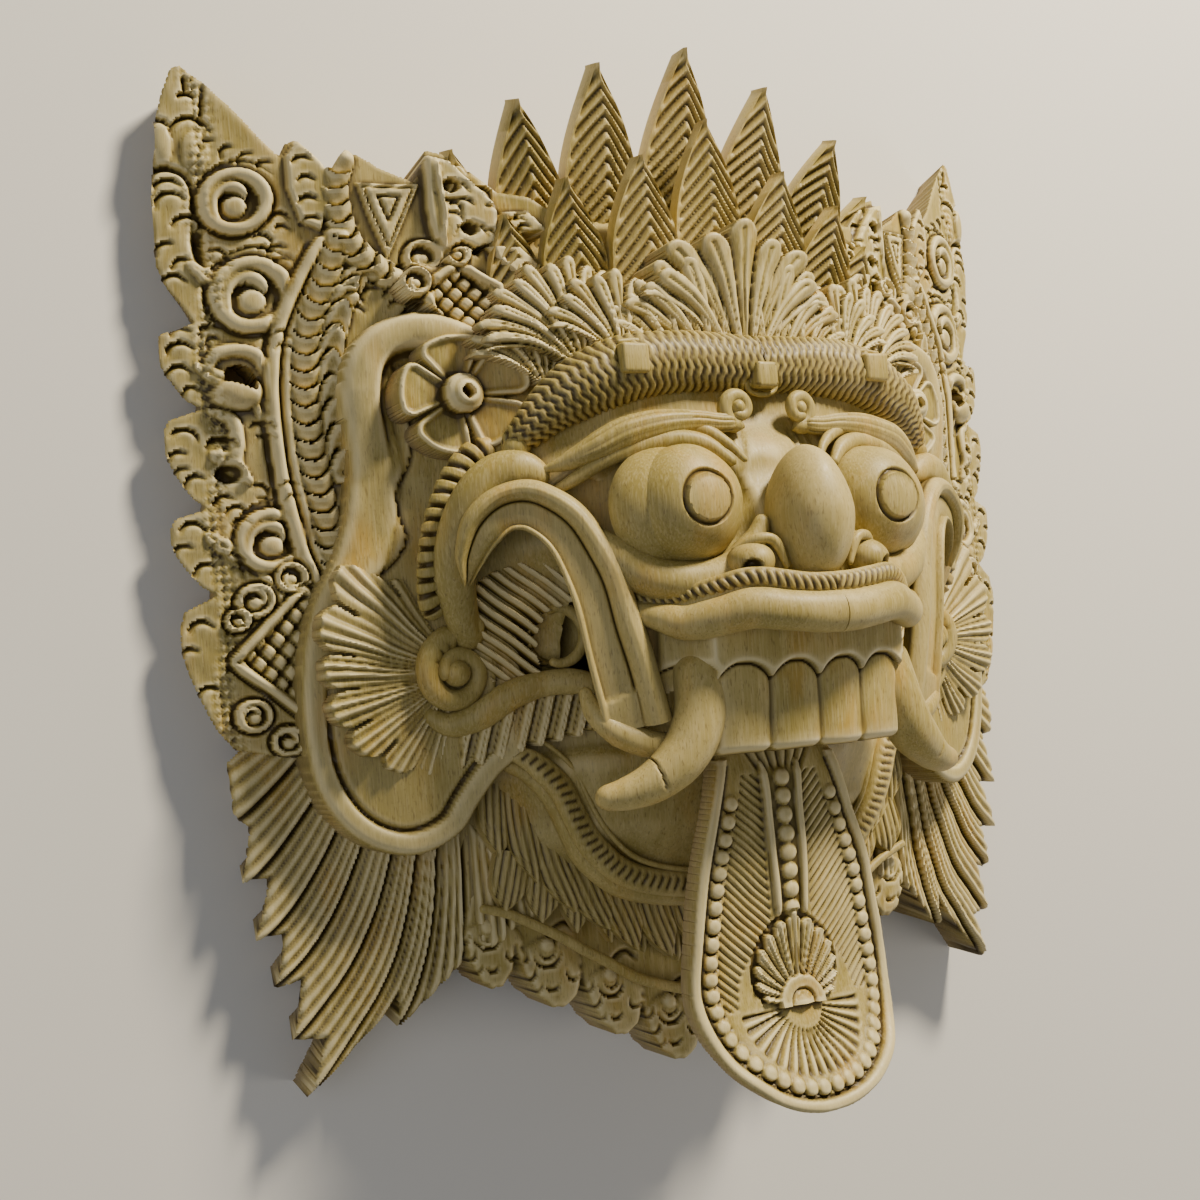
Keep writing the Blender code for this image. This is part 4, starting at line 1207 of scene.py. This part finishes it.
def fill_brows(bm):
    tube(bm, [(79, 25, 86), (73, 26.5, 90), (65, 30, 95), (55, 35, 99), (42, 38, 102),
              (30, 38.5, 103), (21, 38, 104), (14, 38.5, 104.5)],
         (0.8, 3.2, 5, 5.6, 5.2, 4.4, 3.6, 3), 36, 0.9, 0.8,
         lambda at, a, o, u: 0.8 * v_cut((np.arctan2(o, a) + 0.5) / 0.62, 0.16) * (o > -0.2)
         * unit((u - 0.15) * 8))
    t = np.linspace(0, 1, 16)
    turn = np.radians(-90) + 2 * np.pi * 1.15 * t
    reach = 5.6 - 3.4 * t
    coil = np.column_stack([12.6 + reach * np.cos(turn), 43.6 + reach * np.sin(turn),
                            103 + 2 * t])
    tube(bm, [(18, 38, 103.5)] + list(map(tuple, coil)), (2.8, 2.8, 2.6, 2.2, 1.8), 14, 1,
         0.6)
    ball(bm, (12.8, 43.8, 104.5), (2.6, 2.6, 2.6))

    def marks(at, a, o, u):
        wave = at / 3.1 + 0.24 * np.sin(11 * a + 0.11 * at) + 0.5 * a
        rows = v_cut((a + 1) * 2.8 + 0.1 * np.sin(at / 5), 0.3)
        return (1.3 - 0.5 * rows) * v_cut(wave, 0.36) * (o > -0.3) + 0.25 * rows

    tube(bm, [(87, 33, 76), (82, 38, 81), (72, 47, 86), (60, 54, 90), (44, 59, 93),
              (26, 60.5, 95), (10, 60.5, 96), (0.0, 60, 96.5)],
         (4, 7.5, 10.5, 11.5, 11.5, 11, 10.5, 10), 40, 0.8, 0.55, marks, OPEN_END)
    tube(bm, [(86, 38, 78), (82.5, 30, 81)], (4.6, 5.2, 4.4), 16, 0.9)
    for cx, cy, cz, side in ((50, 60, 98.5, 5.0), (0.0, 55.5, 101, 4.4)):
        jewel(bm, cx, cy, cz, side)


def jewel(bm, x, y, z, half):
    """A square-cut stone in a thin frame."""
    made = bmesh.ops.create_cube(bm, size=2)["verts"]
    bmesh.ops.scale(bm, vec=(half, half, 4.5), verts=made)
    bmesh.ops.translate(bm, vec=(x, y, z), verts=made)
    edges = list(set(e for v in made for e in v.link_edges))
    bmesh.ops.bevel(bm, geom=edges, offset=1.3, segments=3, profile=0.5, affect="EDGES",
                    material=-1)
    tube(bm, [(x + half * 1.15 * a, y + half * 1.15 * b, z - 0.4)
              for a, b in ((0.8, 1), (-1, 1), (-1, -1), (1, -1), (1, 0.8))], (0.9, 0.9), 8)


piece("mask_brows_and_hair", fill_brows, both=True)


# Nose with nostril wings. Pale wood, smooth: an egg-shaped nose that stands well out, a
# drilled wing at each side.

def fill_nose(bm):
    def egg(u, v):
        lat, turn = np.pi * (u - 0.5), 2 * np.pi * v
        tall = np.sin(lat)
        slim = np.cos(lat) ** np.where(tall > 0, 1.12, 0.94) * (1 - 0.1 * unit(tall))
        # A faint painted highlight over the whole nose.
        return np.column_stack([13.6 * slim * np.cos(turn), 5 + 23.5 * tall,
                                121 + 17.6 * slim * np.sin(turn)]), 0 * u - 0.1

    loft(bm, 48, 60, egg)
    for way in (-1, 1):
        aim = np.array((0.5 * way, -0.35, 0.8))
        aim /= np.linalg.norm(aim)

        def drilled(spot, aim=aim):
            return 0.5 * unit((spot @ aim - 0.9) / 0.05)

        ball(bm, (23.5 * way, -10, 119.5), (7.6, 6.6, 8.6), 40, 44, drilled)
        tube(bm, [(12.5 * way, -13, 125), (16.5 * way, -4, 124), (22 * way, -2.6, 122.5),
                  (29 * way, -6, 117.5)], (1, 1.8, 1.9, 0.8), 12)


piece("mask_nose", fill_nose)


# Mouth: upper lip, rope line, gum, teeth and tusks. Pale wood: the lip smooth and wavy,
# the rope nicked aslant between two lines, the tusks blunt, each with a small split.

def fill_mouth(bm):
    lip = [(62, -19, 92), (57.5, -22.3, 100), (51, -26, 108), (45, -28.2, 113.5),
           (37, -27.2, 120.5), (28, -25.2, 126.5), (17, -26.5, 130.8), (8, -27.6, 132.6),
           (0.0, -27.8, 133)]
    tube(bm, lip, (1.5, 3.2, 5.0, 6.0, 6.5, 6.6, 6.6, 6.6), 26, 0.86, 0.8, None,
         OPEN_END)
    rope = [(62, -15, 91), (56, -18, 100), (47, -20, 109.5), (37, -17.6, 119),
            (28, -15.4, 125), (18, -16.8, 129.5), (8, -18.4, 131.6), (0.0, -18.8, 132)]
    tube(bm, rope, (1.4, 2.6, 3.4, 3.6, 3.6), 20, 0.72, 0.42,
         lambda at, a, o, u: 1.4 * v_cut(at / 2.9 + 0.5 * a, 0.36)
         * (np.abs(a) < 0.74) * (o > 0) + 0.5 * (np.abs(np.abs(a) - 0.8) < 0.07),
         OPEN_END)
    tube(bm, [(x, y - 3.6, z - 4.5) for x, y, z in rope], (3.5, 4.5, 5, 5), 14, 1, 1.5,
         None, OPEN_END)

    def cracked(at, a, o, u):
        return 1.2 * peak(at - 47 - 1.2 * a, 0.5) * (a < 0.4)

    tusk = [(38, -36, 104), (38.5, -48, 107), (41, -59, 108.5), (47, -69.5, 107.5),
            (56, -77, 104.5), (65, -80.6, 100.5), (74, -81.4, 96.5)]
    tube(bm, tusk, (8, 8.6, 8.8, 8.6, 8.0, 6.8, 5.4, 3.4), 34, 1.0, 0.5, cracked)


TOOTH_WIDE = 18.6


def fill_teeth(bm):
    def front(x):
        return 120.4 - 0.0034 * x ** 2 - 1.25 * np.maximum(np.abs(x) - 38, 0)

    def inside(x, y):
        part = (np.abs(x) / TOOTH_WIDE + 0.5) % 1 - 0.5
        bottom = y - (-71.2 + 1.2 * unit(1 - np.abs(part) * 9))
        reach = np.where(y > -47 - 0.3 * (np.abs(x) - 38), 49.0, 37.4)
        return np.minimum(np.minimum(bottom, -29 - y), reach - np.abs(x))

    def top(x, y):
        side = np.abs(x)
        part = ((side / TOOTH_WIDE) % 1 - 0.5) * 2
        over = np.abs(side - 43.5) / 8.0
        arch = np.where(side < 37.2, -42 - 5.2 * np.abs(part) ** 2.4,
                        -41 - 5.5 * np.minimum(over, 1.2) ** 2.2)
        bulge = 2.6 * round_over(part) - 2.6
        z = front(x) + bulge - 0.05 * np.clip(-48 - y, 0, 30)
        z -= 3.2 * unit(1 - (y + 71.5) / 3.2) ** 2
        gum = front(x) + 1.6 + 0.06 * np.clip(y + 44, -5, 20)
        z = np.where(y > arch, gum, z)
        away = np.abs(y - arch) / np.sqrt(1 + (1.3 * np.abs(part) ** 1.4) ** 2)
        z -= 1.6 * unit(1 - away / 0.8)
        return z + 0.15 * ripple(x, y, 6)

    def low(x, y):
        return np.where(np.abs(x) > 38, 95.0, 90.0)

    relief(bm, (-50, 50, -73, -28), 0.6, inside, top, low, soft=1.2)


piece("mask_lips_and_tusks", fill_mouth, both=True)
piece("mask_teeth", fill_teeth)


# Jaw rope, beard and scalloped border. Pale wood: a rope-cut band with a plain bevel runs
# round the jaw; under it hang two layers of pointed grooved feathers and scrolled lobes.

def feather(bm, base, tip, width, thick, pitch, depth, chevron=0.0, widest=0.3, root=0.8,
            ridge=0.5, hook=0.0):
    """A pointed leaf with a ridge: grooves run along it, or slope down from the ridge."""
    base, tip = np.array(base, float), np.array(tip, float)
    ahead = tip - base
    total = np.linalg.norm(ahead)
    ahead /= total
    side = np.cross(ahead, (0, 0, 1.0))
    side /= np.linalg.norm(side)
    out = np.cross(side, ahead)

    def shape(u, v):
        at = u * total
        taper = np.sin(np.pi / 2 * unit((1 - u) / (1 - widest)))
        wide = width / 2 * np.where(u < widest, root + (1 - root) * np.sin(
            np.pi / 2 * unit(u / widest)), np.maximum(taper, 0.03))
        front, s = two_sides(v, 0.62)
        off = np.abs(s)
        crest = thick * (0.5 - 0.5 * ridge * off) * (1 - 0.6 * u ** 4)
        if chevron:
            wave = (at + chevron * wide * off) / pitch + 0.1 * np.sin(at / 6 + base[0])
            valley = v_line(wave, 2.3)
        else:
            wave = s * wide / pitch + 0.25 * np.sin(at / 9)
            valley = v_line(wave, 3.0)
        valley *= (np.abs(s) < 0.93) * front * unit((1 - u) * 11)
        height = np.where(front, crest - depth * valley, -thick / 2)
        spots = base + ahead * at[:, None] + side * (s * wide + hook * u ** 2)[:, None]
        # Painted shade in the grooves, a faint painted highlight on the crests between.
        painted_shade_and_highlight = np.where(np.abs(s) < 0.9, 0.75 * valley - 0.2 * (1 - valley), 0.0)
        return spots + out * height[:, None], painted_shade_and_highlight

    loft(bm, int(total / (0.95 if chevron else 1.0)), 50 if chevron else 32, shape)


def fill_beard(bm):
    rim = [(90, -60, 58), (84, -66, 60), (77, -70.5, 62), (70.5, -78, 63.5),
           (65.5, -89, 64.5), (59.5, -100, 65), (51, -108.5, 65.5), (40, -114, 66),
           (28, -116.5, 67), (14, -117.5, 68), (0.0, -118, 68.5)]
    tube(bm, rim, (1.6, 4.4, 4.8, 4.8, 4.6, 4.4, 4.2), 22, 0.75, 0.5,
         lambda at, a, o, u: 1.3 * v_cut(at / 3.1 - 0.4 * a, 0.3) * (np.abs(a) < 0.55)
         * (o > 0), OPEN_END)
    tube(bm, [(x + 1.2, y - 3.6, z - 5) for x, y, z in rim], (2.2, 4.2, 4.4), 12, 1.3, 1.4,
         None, OPEN_END)
    tube(bm, [(x * 0.94 - 1.5, y + 4.6, z + 1.6) for x, y, z in rim[1:]], (0.8, 1, 1), 8, 1,
         1.2, None, OPEN_END)
    leaves = (((84, -74, 47), (87, -101, 45), 15), ((76, -80, 49), (74.5, -112, 47), 16),
              ((69, -90, 50), (61, -124, 48), 16), ((58, -102, 50), (48, -132, 48), 16),
              ((45, -110, 50), (37, -141, 48), 15), ((31, -112, 50), (24, -145, 48), 15),
              ((16, -113, 50), (10, -147, 48), 15))
    for base, tip, width in leaves:
        feather(bm, base[:2] + (base[2] - 5,), tip, width, 8, 2.6, 0.8, root=0.85,
                widest=0.55, ridge=0.35, hook=1.5)
    for i in range(7):
        t = i / 6
        base = (80 - 74 * t, -100 - 14 * t, 44)
        tip = (80 - 80 * t + 4, -121 - 32 * t, 43.5)
        feather(bm, base, tip, 15, 7, 2.6, 0.7, root=0.9, widest=0.5, ridge=0.3)
    tube(bm, [(93, -118, 43), (78, -124, 44), (58, -136, 44.5), (34, -151, 45),
              (14, -158, 45), (0.0, -160, 45)], (1.6, 2.0, 2.0), 10, 0.9, 1.2, None,
         OPEN_END)


LOBES = ((-6, -172), (8, -173), (31, -161), (54, -147), (78, -134), (97, -128))
border_line = [(0, -118), (0, -175)]
for (xa, ya), (xb, yb) in zip(LOBES[1:], LOBES[2:]):
    border_line.append((xa, ya))
    for t in np.linspace(0.08, 0.92, 9):
        border_line.append((xa + (xb - xa) * t,
                            ya + (yb - ya) * t - 15.5 * np.sin(np.pi * t) ** 0.5
                            - 0.8 * np.sin(5 * np.pi * t) ** 2))
border_line += [(97, -128), (92, -108)]


def border_heights(x, y):
    z = 41 - 0.05 * x + 0.35 * ripple(x, y, 5)
    f = Field(x, y, z)
    for (xa, ya), (xb, yb) in zip(LOBES[1:], LOBES[2:]):
        cx, cy = (xa + xb) / 2, (ya + yb) / 2
        f.dome(cx, cy - 5, 13, 13, 2.4)
        f.cut(splined([(cx - 12, cy + 8), (cx - 7, cy + 12), (cx - 1, cy + 9),
                       (cx + 1, cy + 3)]), 1.5, 2.0)
        f.cut(splined([(cx - 8, cy + 4), (cx - 4, cy + 7), (cx, cy + 4)]), 1.2, 1.4)
        f.gouge(cx + 1, cy + 2.4, 5.4, -90, 2.4, 2.0)
        f.gouge(cx + 1, cy + 3.4, 3.2, -90, 1.6, 1.4)
        f.dome(cx + 1, cy + 5.0, 2.8, 2.8, 2.2, 1.0)
        f.gouge(cx, cy - 8, 2.8, -90, 1.8)
        f.gouge(cx + 8.5, cy - 3, 3.2, -120, 1.9)
        f.gouge(cx + 6.5, cy - 8, 3.0, -110, 1.6)
        f.gouge(cx - 8.5, cy - 5, 3.2, -60, 1.9)
        f.gouge(cx + 10.5, cy + 3, 3.2, -120, 1.6)
        f.cut(splined([(cx - 11.5, cy - 2), (cx - 12.5, cy - 6)]), 1.4, 1.8)
    return f.z


def fill_border(bm):
    def inside(x, y):
        return np.minimum(within(x, y, border_line + [(-6, -118)]), x)

    relief(bm, (-1.0, 100, -184, -106), 0.72, inside, border_heights, level_at(18),
           soft=2.0)


piece("mask_beard", fill_beard, both=True)
piece("mask_beard_border", fill_border, both=True)


# Tongue. Pale wood, hangs clear of the beard: a raised rim, rows of beads, a beaded spine
# between two ridges, slanting grooves, and a palm leaf over a half sun near the tip.

TONGUE = [(-60, 21, 87), (-76, 25, 92), (-92, 29.5, 93.5), (-110, 35, 93.5),
          (-130, 38.8, 92.5), (-150, 41, 92.5), (-165, 38.5, 97), (-176, 32, 103.5),
          (-184, 23, 107), (-188.5, 14, 108), (-190.5, 6, 108.4), (-191, 0, 108.5)]
TONGUE_THICK = 8.4
SUN = (0.0, -158)
SUN_REACH = 24


def tongue_level(y):
    """Height of the tongue's front along its middle."""
    line = splined([(t[0], t[2]) for t in TONGUE], 8)[::-1]
    return np.interp(y, line[:, 0], line[:, 1])


tongue_line = splined([(t[1], t[0]) for t in TONGUE[1:]], 4)
tongue_ring = [(0, -58), (21, -60)] + [tuple(p) for p in tongue_line]
tongue_ring += [(-x, y) for x, y in tongue_ring[::-1]]


def tongue_heights(x, y):
    z = tongue_level(y)
    deep = within(x, y, tongue_ring)
    side = np.abs(x)
    z = z - 0.0016 * x ** 2 + 0.25 * ripple(x, y, 7)
    z += 1.7 * round_over((deep - 1.6) / 2.6) * (y < -74)
    z -= 0.9 * peak(deep - 4.5, 0.9) * (y < -76)
    f = Field(x, y, z)
    dy = y - SUN[1]
    far, turn = polar(x, y, SUN)
    chevron = (y < -80) & (y > -157.5) & (deep > 10.5) & (side > 8.5) & (far > SUN_REACH)
    slope = (y - 0.95 * side) / 3.3
    f.z -= np.where(chevron, 1.1 * v_line(slope, 3.2), 0)
    for cx in (-6.2, 6.2):
        f.rib(np.array([(cx * 1.15, -76), (cx, -100), (cx * 0.9, -128)], float), 1.5, 1.8)
    for k in range(8):
        f.dome(0, -82 - 6.3 * k, 3.3, 3.3, 2.4)
    edge = np.array([p for p in tongue_line if p[1] < -80])
    run = run_of(edge)
    for s in np.arange(3, run[-1] - 1, 6.0):
        px, py = np.interp(s, run, edge[:, 0]), np.interp(s, run, edge[:, 1])
        qx, qy = np.interp(s + 1, run, edge[:, 0]), np.interp(s + 1, run, edge[:, 1])
        nx, ny = (qy - py), -(qx - px)
        norm = np.hypot(nx, ny) + 1e-9
        cx, cy = px + 7.8 * nx / norm, py + 7.8 * ny / norm
        if cx < 0.5:
            continue
        for way in (-1, 1):
            f.dome(way * cx, cy, 2.7, 2.7, 1.5)
            f.gouge(way * cx, cy, 3.3, -90 + way * 10, 1.3, 1.2)
    up = peak(turn - 90, 78)
    tall = 14 + 17 * up ** 0.8
    part = ((turn - 90) / 13 + 0.5) % 1 - 0.5
    leaf = (turn > 8) & (turn < 172) & (far > 9) & (far < tall - 9 * np.abs(part) ** 1.6)
    lift = 2.4 * (1 - (2 * part) ** 2 * 0.6) - 1.0 * unit(1 - np.abs(
        (part * 3) % 1 - 0.5) * 3)
    f.z = np.where(leaf, f.ground + np.maximum(lift, 0.4), f.z)
    around = (far >= 9) & (turn > 8) & (turn < 172) & (far < tall + 1.2) & ~leaf
    f.z -= np.where(around, 1.0, 0)
    sun = (far < 9.2) & (dy > -0.5)
    disc = 2.8 - 1.6 * peak(far - 4.6, 0.9)
    disc = np.where(far < 3.6, 2.2 + 0.3 * (3.6 - far), disc)
    f.z = np.where(sun, f.ground + disc, f.z)
    ray = unit(np.minimum(np.minimum(-0.5 - dy, far - 8),
                             np.minimum(deep - 10.5, SUN_REACH - far)))
    f.z -= ray * 1.7 * v_line(turn / 10, 2.6)
    for k in range(7):
        f.cut(splined([(-16 + 5.5 * k, -62), (-13 + 4.6 * k, -70), (-7 + 2.4 * k, -80)]),
              1.3, 1.4)
    return f.z


def fill_tongue(bm):
    relief(bm, (-43, 43, -193, -58), 0.58, inside_of(tongue_ring), tongue_heights,
           lambda x, y: tongue_level(y) - TONGUE_THICK, soft=1.6)


piece("mask_tongue", fill_tongue)


# Carved grounds at the temples, between ear, wing and fans. Pale wood: a latticed lozenge
# in a rim, a hooked leaf with three pits and small curls, cut in one board a side.

TEMPLE = [(112, 93), (106, 101), (98, 99), (92, 106), (84, 103), (79, 109), (71, 107),
          (63, 101), (60, 92), (62, 82), (67, 74), (66, 66), (74, 60), (84, 63), (90, 74),
          (99, 84), (109, 89)]


def temple_heights(x, y):
    plain = 60 - 0.22 * (x - 85) + 0.05 * (y - 85) + 0.4 * ripple(x, y, 5)
    f = Field(x, y, plain)
    lozenge = [(103, 92), (92, 100), (79, 92), (77, 79), (88, 70), (100, 78)]
    f.raised(lozenge, 1.8)
    f.crossed(lozenge, 4.6, 2.6, (48, -42))
    f.rib(np.array(lozenge + lozenge[:1], float), 1.8, 3.8)
    leaf = [(82, 106), (72, 105.5), (65, 99), (63, 90), (67, 83), (72, 87), (74, 95),
            (80, 100)]
    f.raised(leaf, 5.2, 0.9)
    for cx, cy in ((75.5, 101.5), (70, 97.5), (67.5, 90.5)):
        f.hole(cx, cy, 2.0, 1.8, 3.8)
        f.gouge(cx - 1, cy - 2.4, 2.8, 60, 1.6, 1.2)
    for cx, cy, r, first, way in ((106.5, 93.5, 5.0, 200, 1), (92, 103, 4.2, 270, -1),
                                  (69, 76.5, 4.8, 30, 1), (76, 67, 4.6, 90, -1),
                                  (85, 68, 4.0, 160, 1)):
        f.scroll(cx, cy, r, first, way=way, rise=4.0, eye=0.4, pit=3.0)
    return f.z


def fill_temples(bm):
    relief(bm, (58, 114, 58, 111), 0.6, inside_of(TEMPLE), temple_heights, level_at(44),
           soft=1.2)


piece("mask_temple_carvings", fill_temples, both=True)


# Crown: two rows of tall pointed leaves. Pale wood, pinkish on the plain sawn sides: each
# leaf has a ridge down its front and V grooves that slope down from it.

def fill_crown(bm):
    back = (((0, 100, 50), (0, 183, 70.5), 33, 0.0), ((29, 98, 50), (34.5, 174, 67.5), 32, 1.5),
            ((54, 94, 46), (66, 158, 66.5), 31, 2.5), ((76, 94, 44), (88, 141, 56), 24, 2))
    front = (((0, 86, 74), (0, 152.5, 80), 29, 0.0), ((26, 82, 73), (29, 136, 82), 28, 1),
             ((50, 78, 67), (55.5, 127, 77.5), 26, 2), ((68, 76, 58), (75, 116, 68), 22, 2))
    for row, thick, pitch, depth in ((back, 14, 5.2, 2.3), (front, 12, 4.8, 2.1)):
        for base, tip, width, hook in row:
            for way in (-1, 1) if base[0] else (1,):
                feather(bm, (way * base[0],) + base[1:], (way * tip[0],) + tip[1:], width,
                        thick, pitch, depth, chevron=1.15, widest=0.38, root=0.9, ridge=0.75,
                        hook=way * hook)


piece("mask_crown", fill_crown)


# Fans over the brow: a tall middle group and one at each side, with a small leaf and three
# beads. Pale wood: fluted strands with round ends that spread from behind the jewels.

def fan(bm, root, step, reach, spread_to, level, lean, drop, curl=0.3):
    """One fan: strands spread both ways from upright to spread_to degrees."""
    def strands(x, y):
        dx, dy = x - root[0], y - root[1]
        far = np.hypot(dx, dy)
        turn = (np.degrees(np.arctan2(dx, dy))) / (1 + curl * (far / reach) ** 2)
        count = np.round(turn / step)
        part = turn / step - count
        tall = reach * (1 - 0.16 * (count * step / spread_to) ** 2) * (1 - 0.055 * (count % 2))
        edge = np.where(np.abs(turn) < spread_to, tall - 6 * np.abs(2 * part) ** 2.4, 0)
        return far, part, count, edge

    def inside(x, y):
        far, _, _, edge = strands(x, y)
        return np.minimum(edge - far, far - 3)

    def top(x, y):
        far, part, count, edge = strands(x, y)
        z = level + lean * far + 2.6 * round_over(2 * part)
        z -= 0.9 * unit(1 - np.abs(part + 0.05) * 9) * (edge - far > 3)
        z += 1.1 * (count % 2) - 0.16 * np.abs(x - root[0])
        return z + 0.25 * ripple(x, y, 4)

    box = (root[0] - 1.1 * reach, root[0] + 1.1 * reach, root[1] + 3, root[1] + reach + 2)
    relief(bm, box, 0.65, inside, top, level_at(level - drop), soft=1.2)


def fill_fans(bm):
    fan(bm, (60, 58), 7.0, 41, 56, 84, -0.13, 13, 0.6)
    fan(bm, (46, 57), 7.4, 37, 38, 87, -0.04, 14, 0.8)
    fan(bm, (72, 53), 8.6, 32, 45, 78, -0.12, 14, 0.6)
    feather(bm, (74, 70, 64), (70, 99, 70), 11, 8, 5, 0.5, chevron=1.0, widest=0.4,
            hook=-4)
    for k in range(3):
        ball(bm, (72.5 - 1.2 * k, 77 + 5.2 * k, 71.5), (2.2, 2.0, 1.6))


def fill_middle_fan(bm):
    for way in (-1, 1):
        fan(bm, (24 * way, 54), 6.6, 40, 36, 88, 0.04, 15, 0.8)
        fan(bm, (11 * way, 46), 5.6, 56, 26, 87.5, 0.12, 15, 1.2)
    fan(bm, (0, 44), 5.2, 67, 21, 88, 0.15, 16, 1.6)


piece("mask_side_fans", fill_fans, both=True)
piece("mask_middle_fan", fill_middle_fan)


# Camera, floor and lights. The camera looks as the photo does, from the mask's right and
# a little below; a pale floor carries it, with soft studio light from above its crown.

def turned(yaw, pitch, roll):
    """Right, up and forward of a view, in the mask's own frame."""
    yaw, pitch, roll = np.radians((yaw, pitch, roll))
    ahead = np.array([np.sin(yaw) * np.cos(pitch), np.sin(pitch),
                      -np.cos(yaw) * np.cos(pitch)])
    right = np.array([np.cos(yaw), 0, np.sin(yaw)])
    up = np.cross(right, ahead)
    return (np.cos(roll) * right - np.sin(roll) * up,
            np.sin(roll) * right + np.cos(roll) * up, ahead)


view_data = bpy.data.cameras.new("photo_view")
view_data.lens = 45
view_data.sensor_width = 36
view_data.clip_start = 0.01
view_data.dof.use_dof = False
photo_view = bpy.data.objects.new("photo_view", view_data)
bpy.context.scene.collection.objects.link(photo_view)
right, up, ahead = turned(yaw=29.012, pitch=3.0, roll=4.422)
view_spot = (-0.3, -0.03961, 0.5167)
photo_view.matrix_world = Matrix([[right[i], up[i], -ahead[i], view_spot[i]]
                                  for i in range(3)] + [[0, 0, 0, 1]])
bpy.context.scene.camera = photo_view

FLOOR_HALF = 6
floor_mesh = bpy.data.meshes.new("floor")
bm = bmesh.new()
bmesh.ops.create_grid(bm, x_segments=1, y_segments=1, size=FLOOR_HALF)
bmesh.ops.translate(bm, vec=(0, 0, -0.0001), verts=bm.verts)
bm.to_mesh(floor_mesh)
bm.free()
floor = bpy.data.objects.new("floor", floor_mesh)
bpy.context.scene.collection.objects.link(floor)
floor_paint = bpy.data.materials.new("matt_pale_floor_paint")
floor_paint.use_nodes = True
floor_shader = floor_paint.node_tree.nodes["Principled BSDF"]
floor_shader.inputs["Base Color"].default_value = linear("d9d7d0")
floor_shader.inputs["Roughness"].default_value = 0.85
floor_mesh.materials.append(floor_paint)


LIT_SPOT = (0, 0, 0.05)


def area_light(name, spot, size, power, colour):
    """A round studio light that looks at the middle of the mask."""
    data = bpy.data.lights.new(name, "AREA")
    data.shape = "DISK"
    data.size = size
    data.energy = power
    data.color = linear(colour)[:3]
    lamp = bpy.data.objects.new(name, data)
    lamp.location = spot
    aim = Vector(LIT_SPOT) - Vector(spot)
    lamp.rotation_euler = aim.to_track_quat("-Z", "Y").to_euler()
    bpy.context.scene.collection.objects.link(lamp)


area_light("key_light", (0.45, 0.95, 0.7), 0.25, 36, "fff1d8")
area_light("fill_light", (-0.9, -0.1, 0.9), 1.0, 3.2, "f2f4ff")
area_light("rim_light", (0.9, -0.5, 0.45), 0.5, 3, "fff6ea")
sky = bpy.data.worlds.new("studio")
sky.use_nodes = True
sky.node_tree.nodes["Background"].inputs[0].default_value = linear("eef0f2")
sky.node_tree.nodes["Background"].inputs[1].default_value = 0.17
bpy.context.scene.world = sky
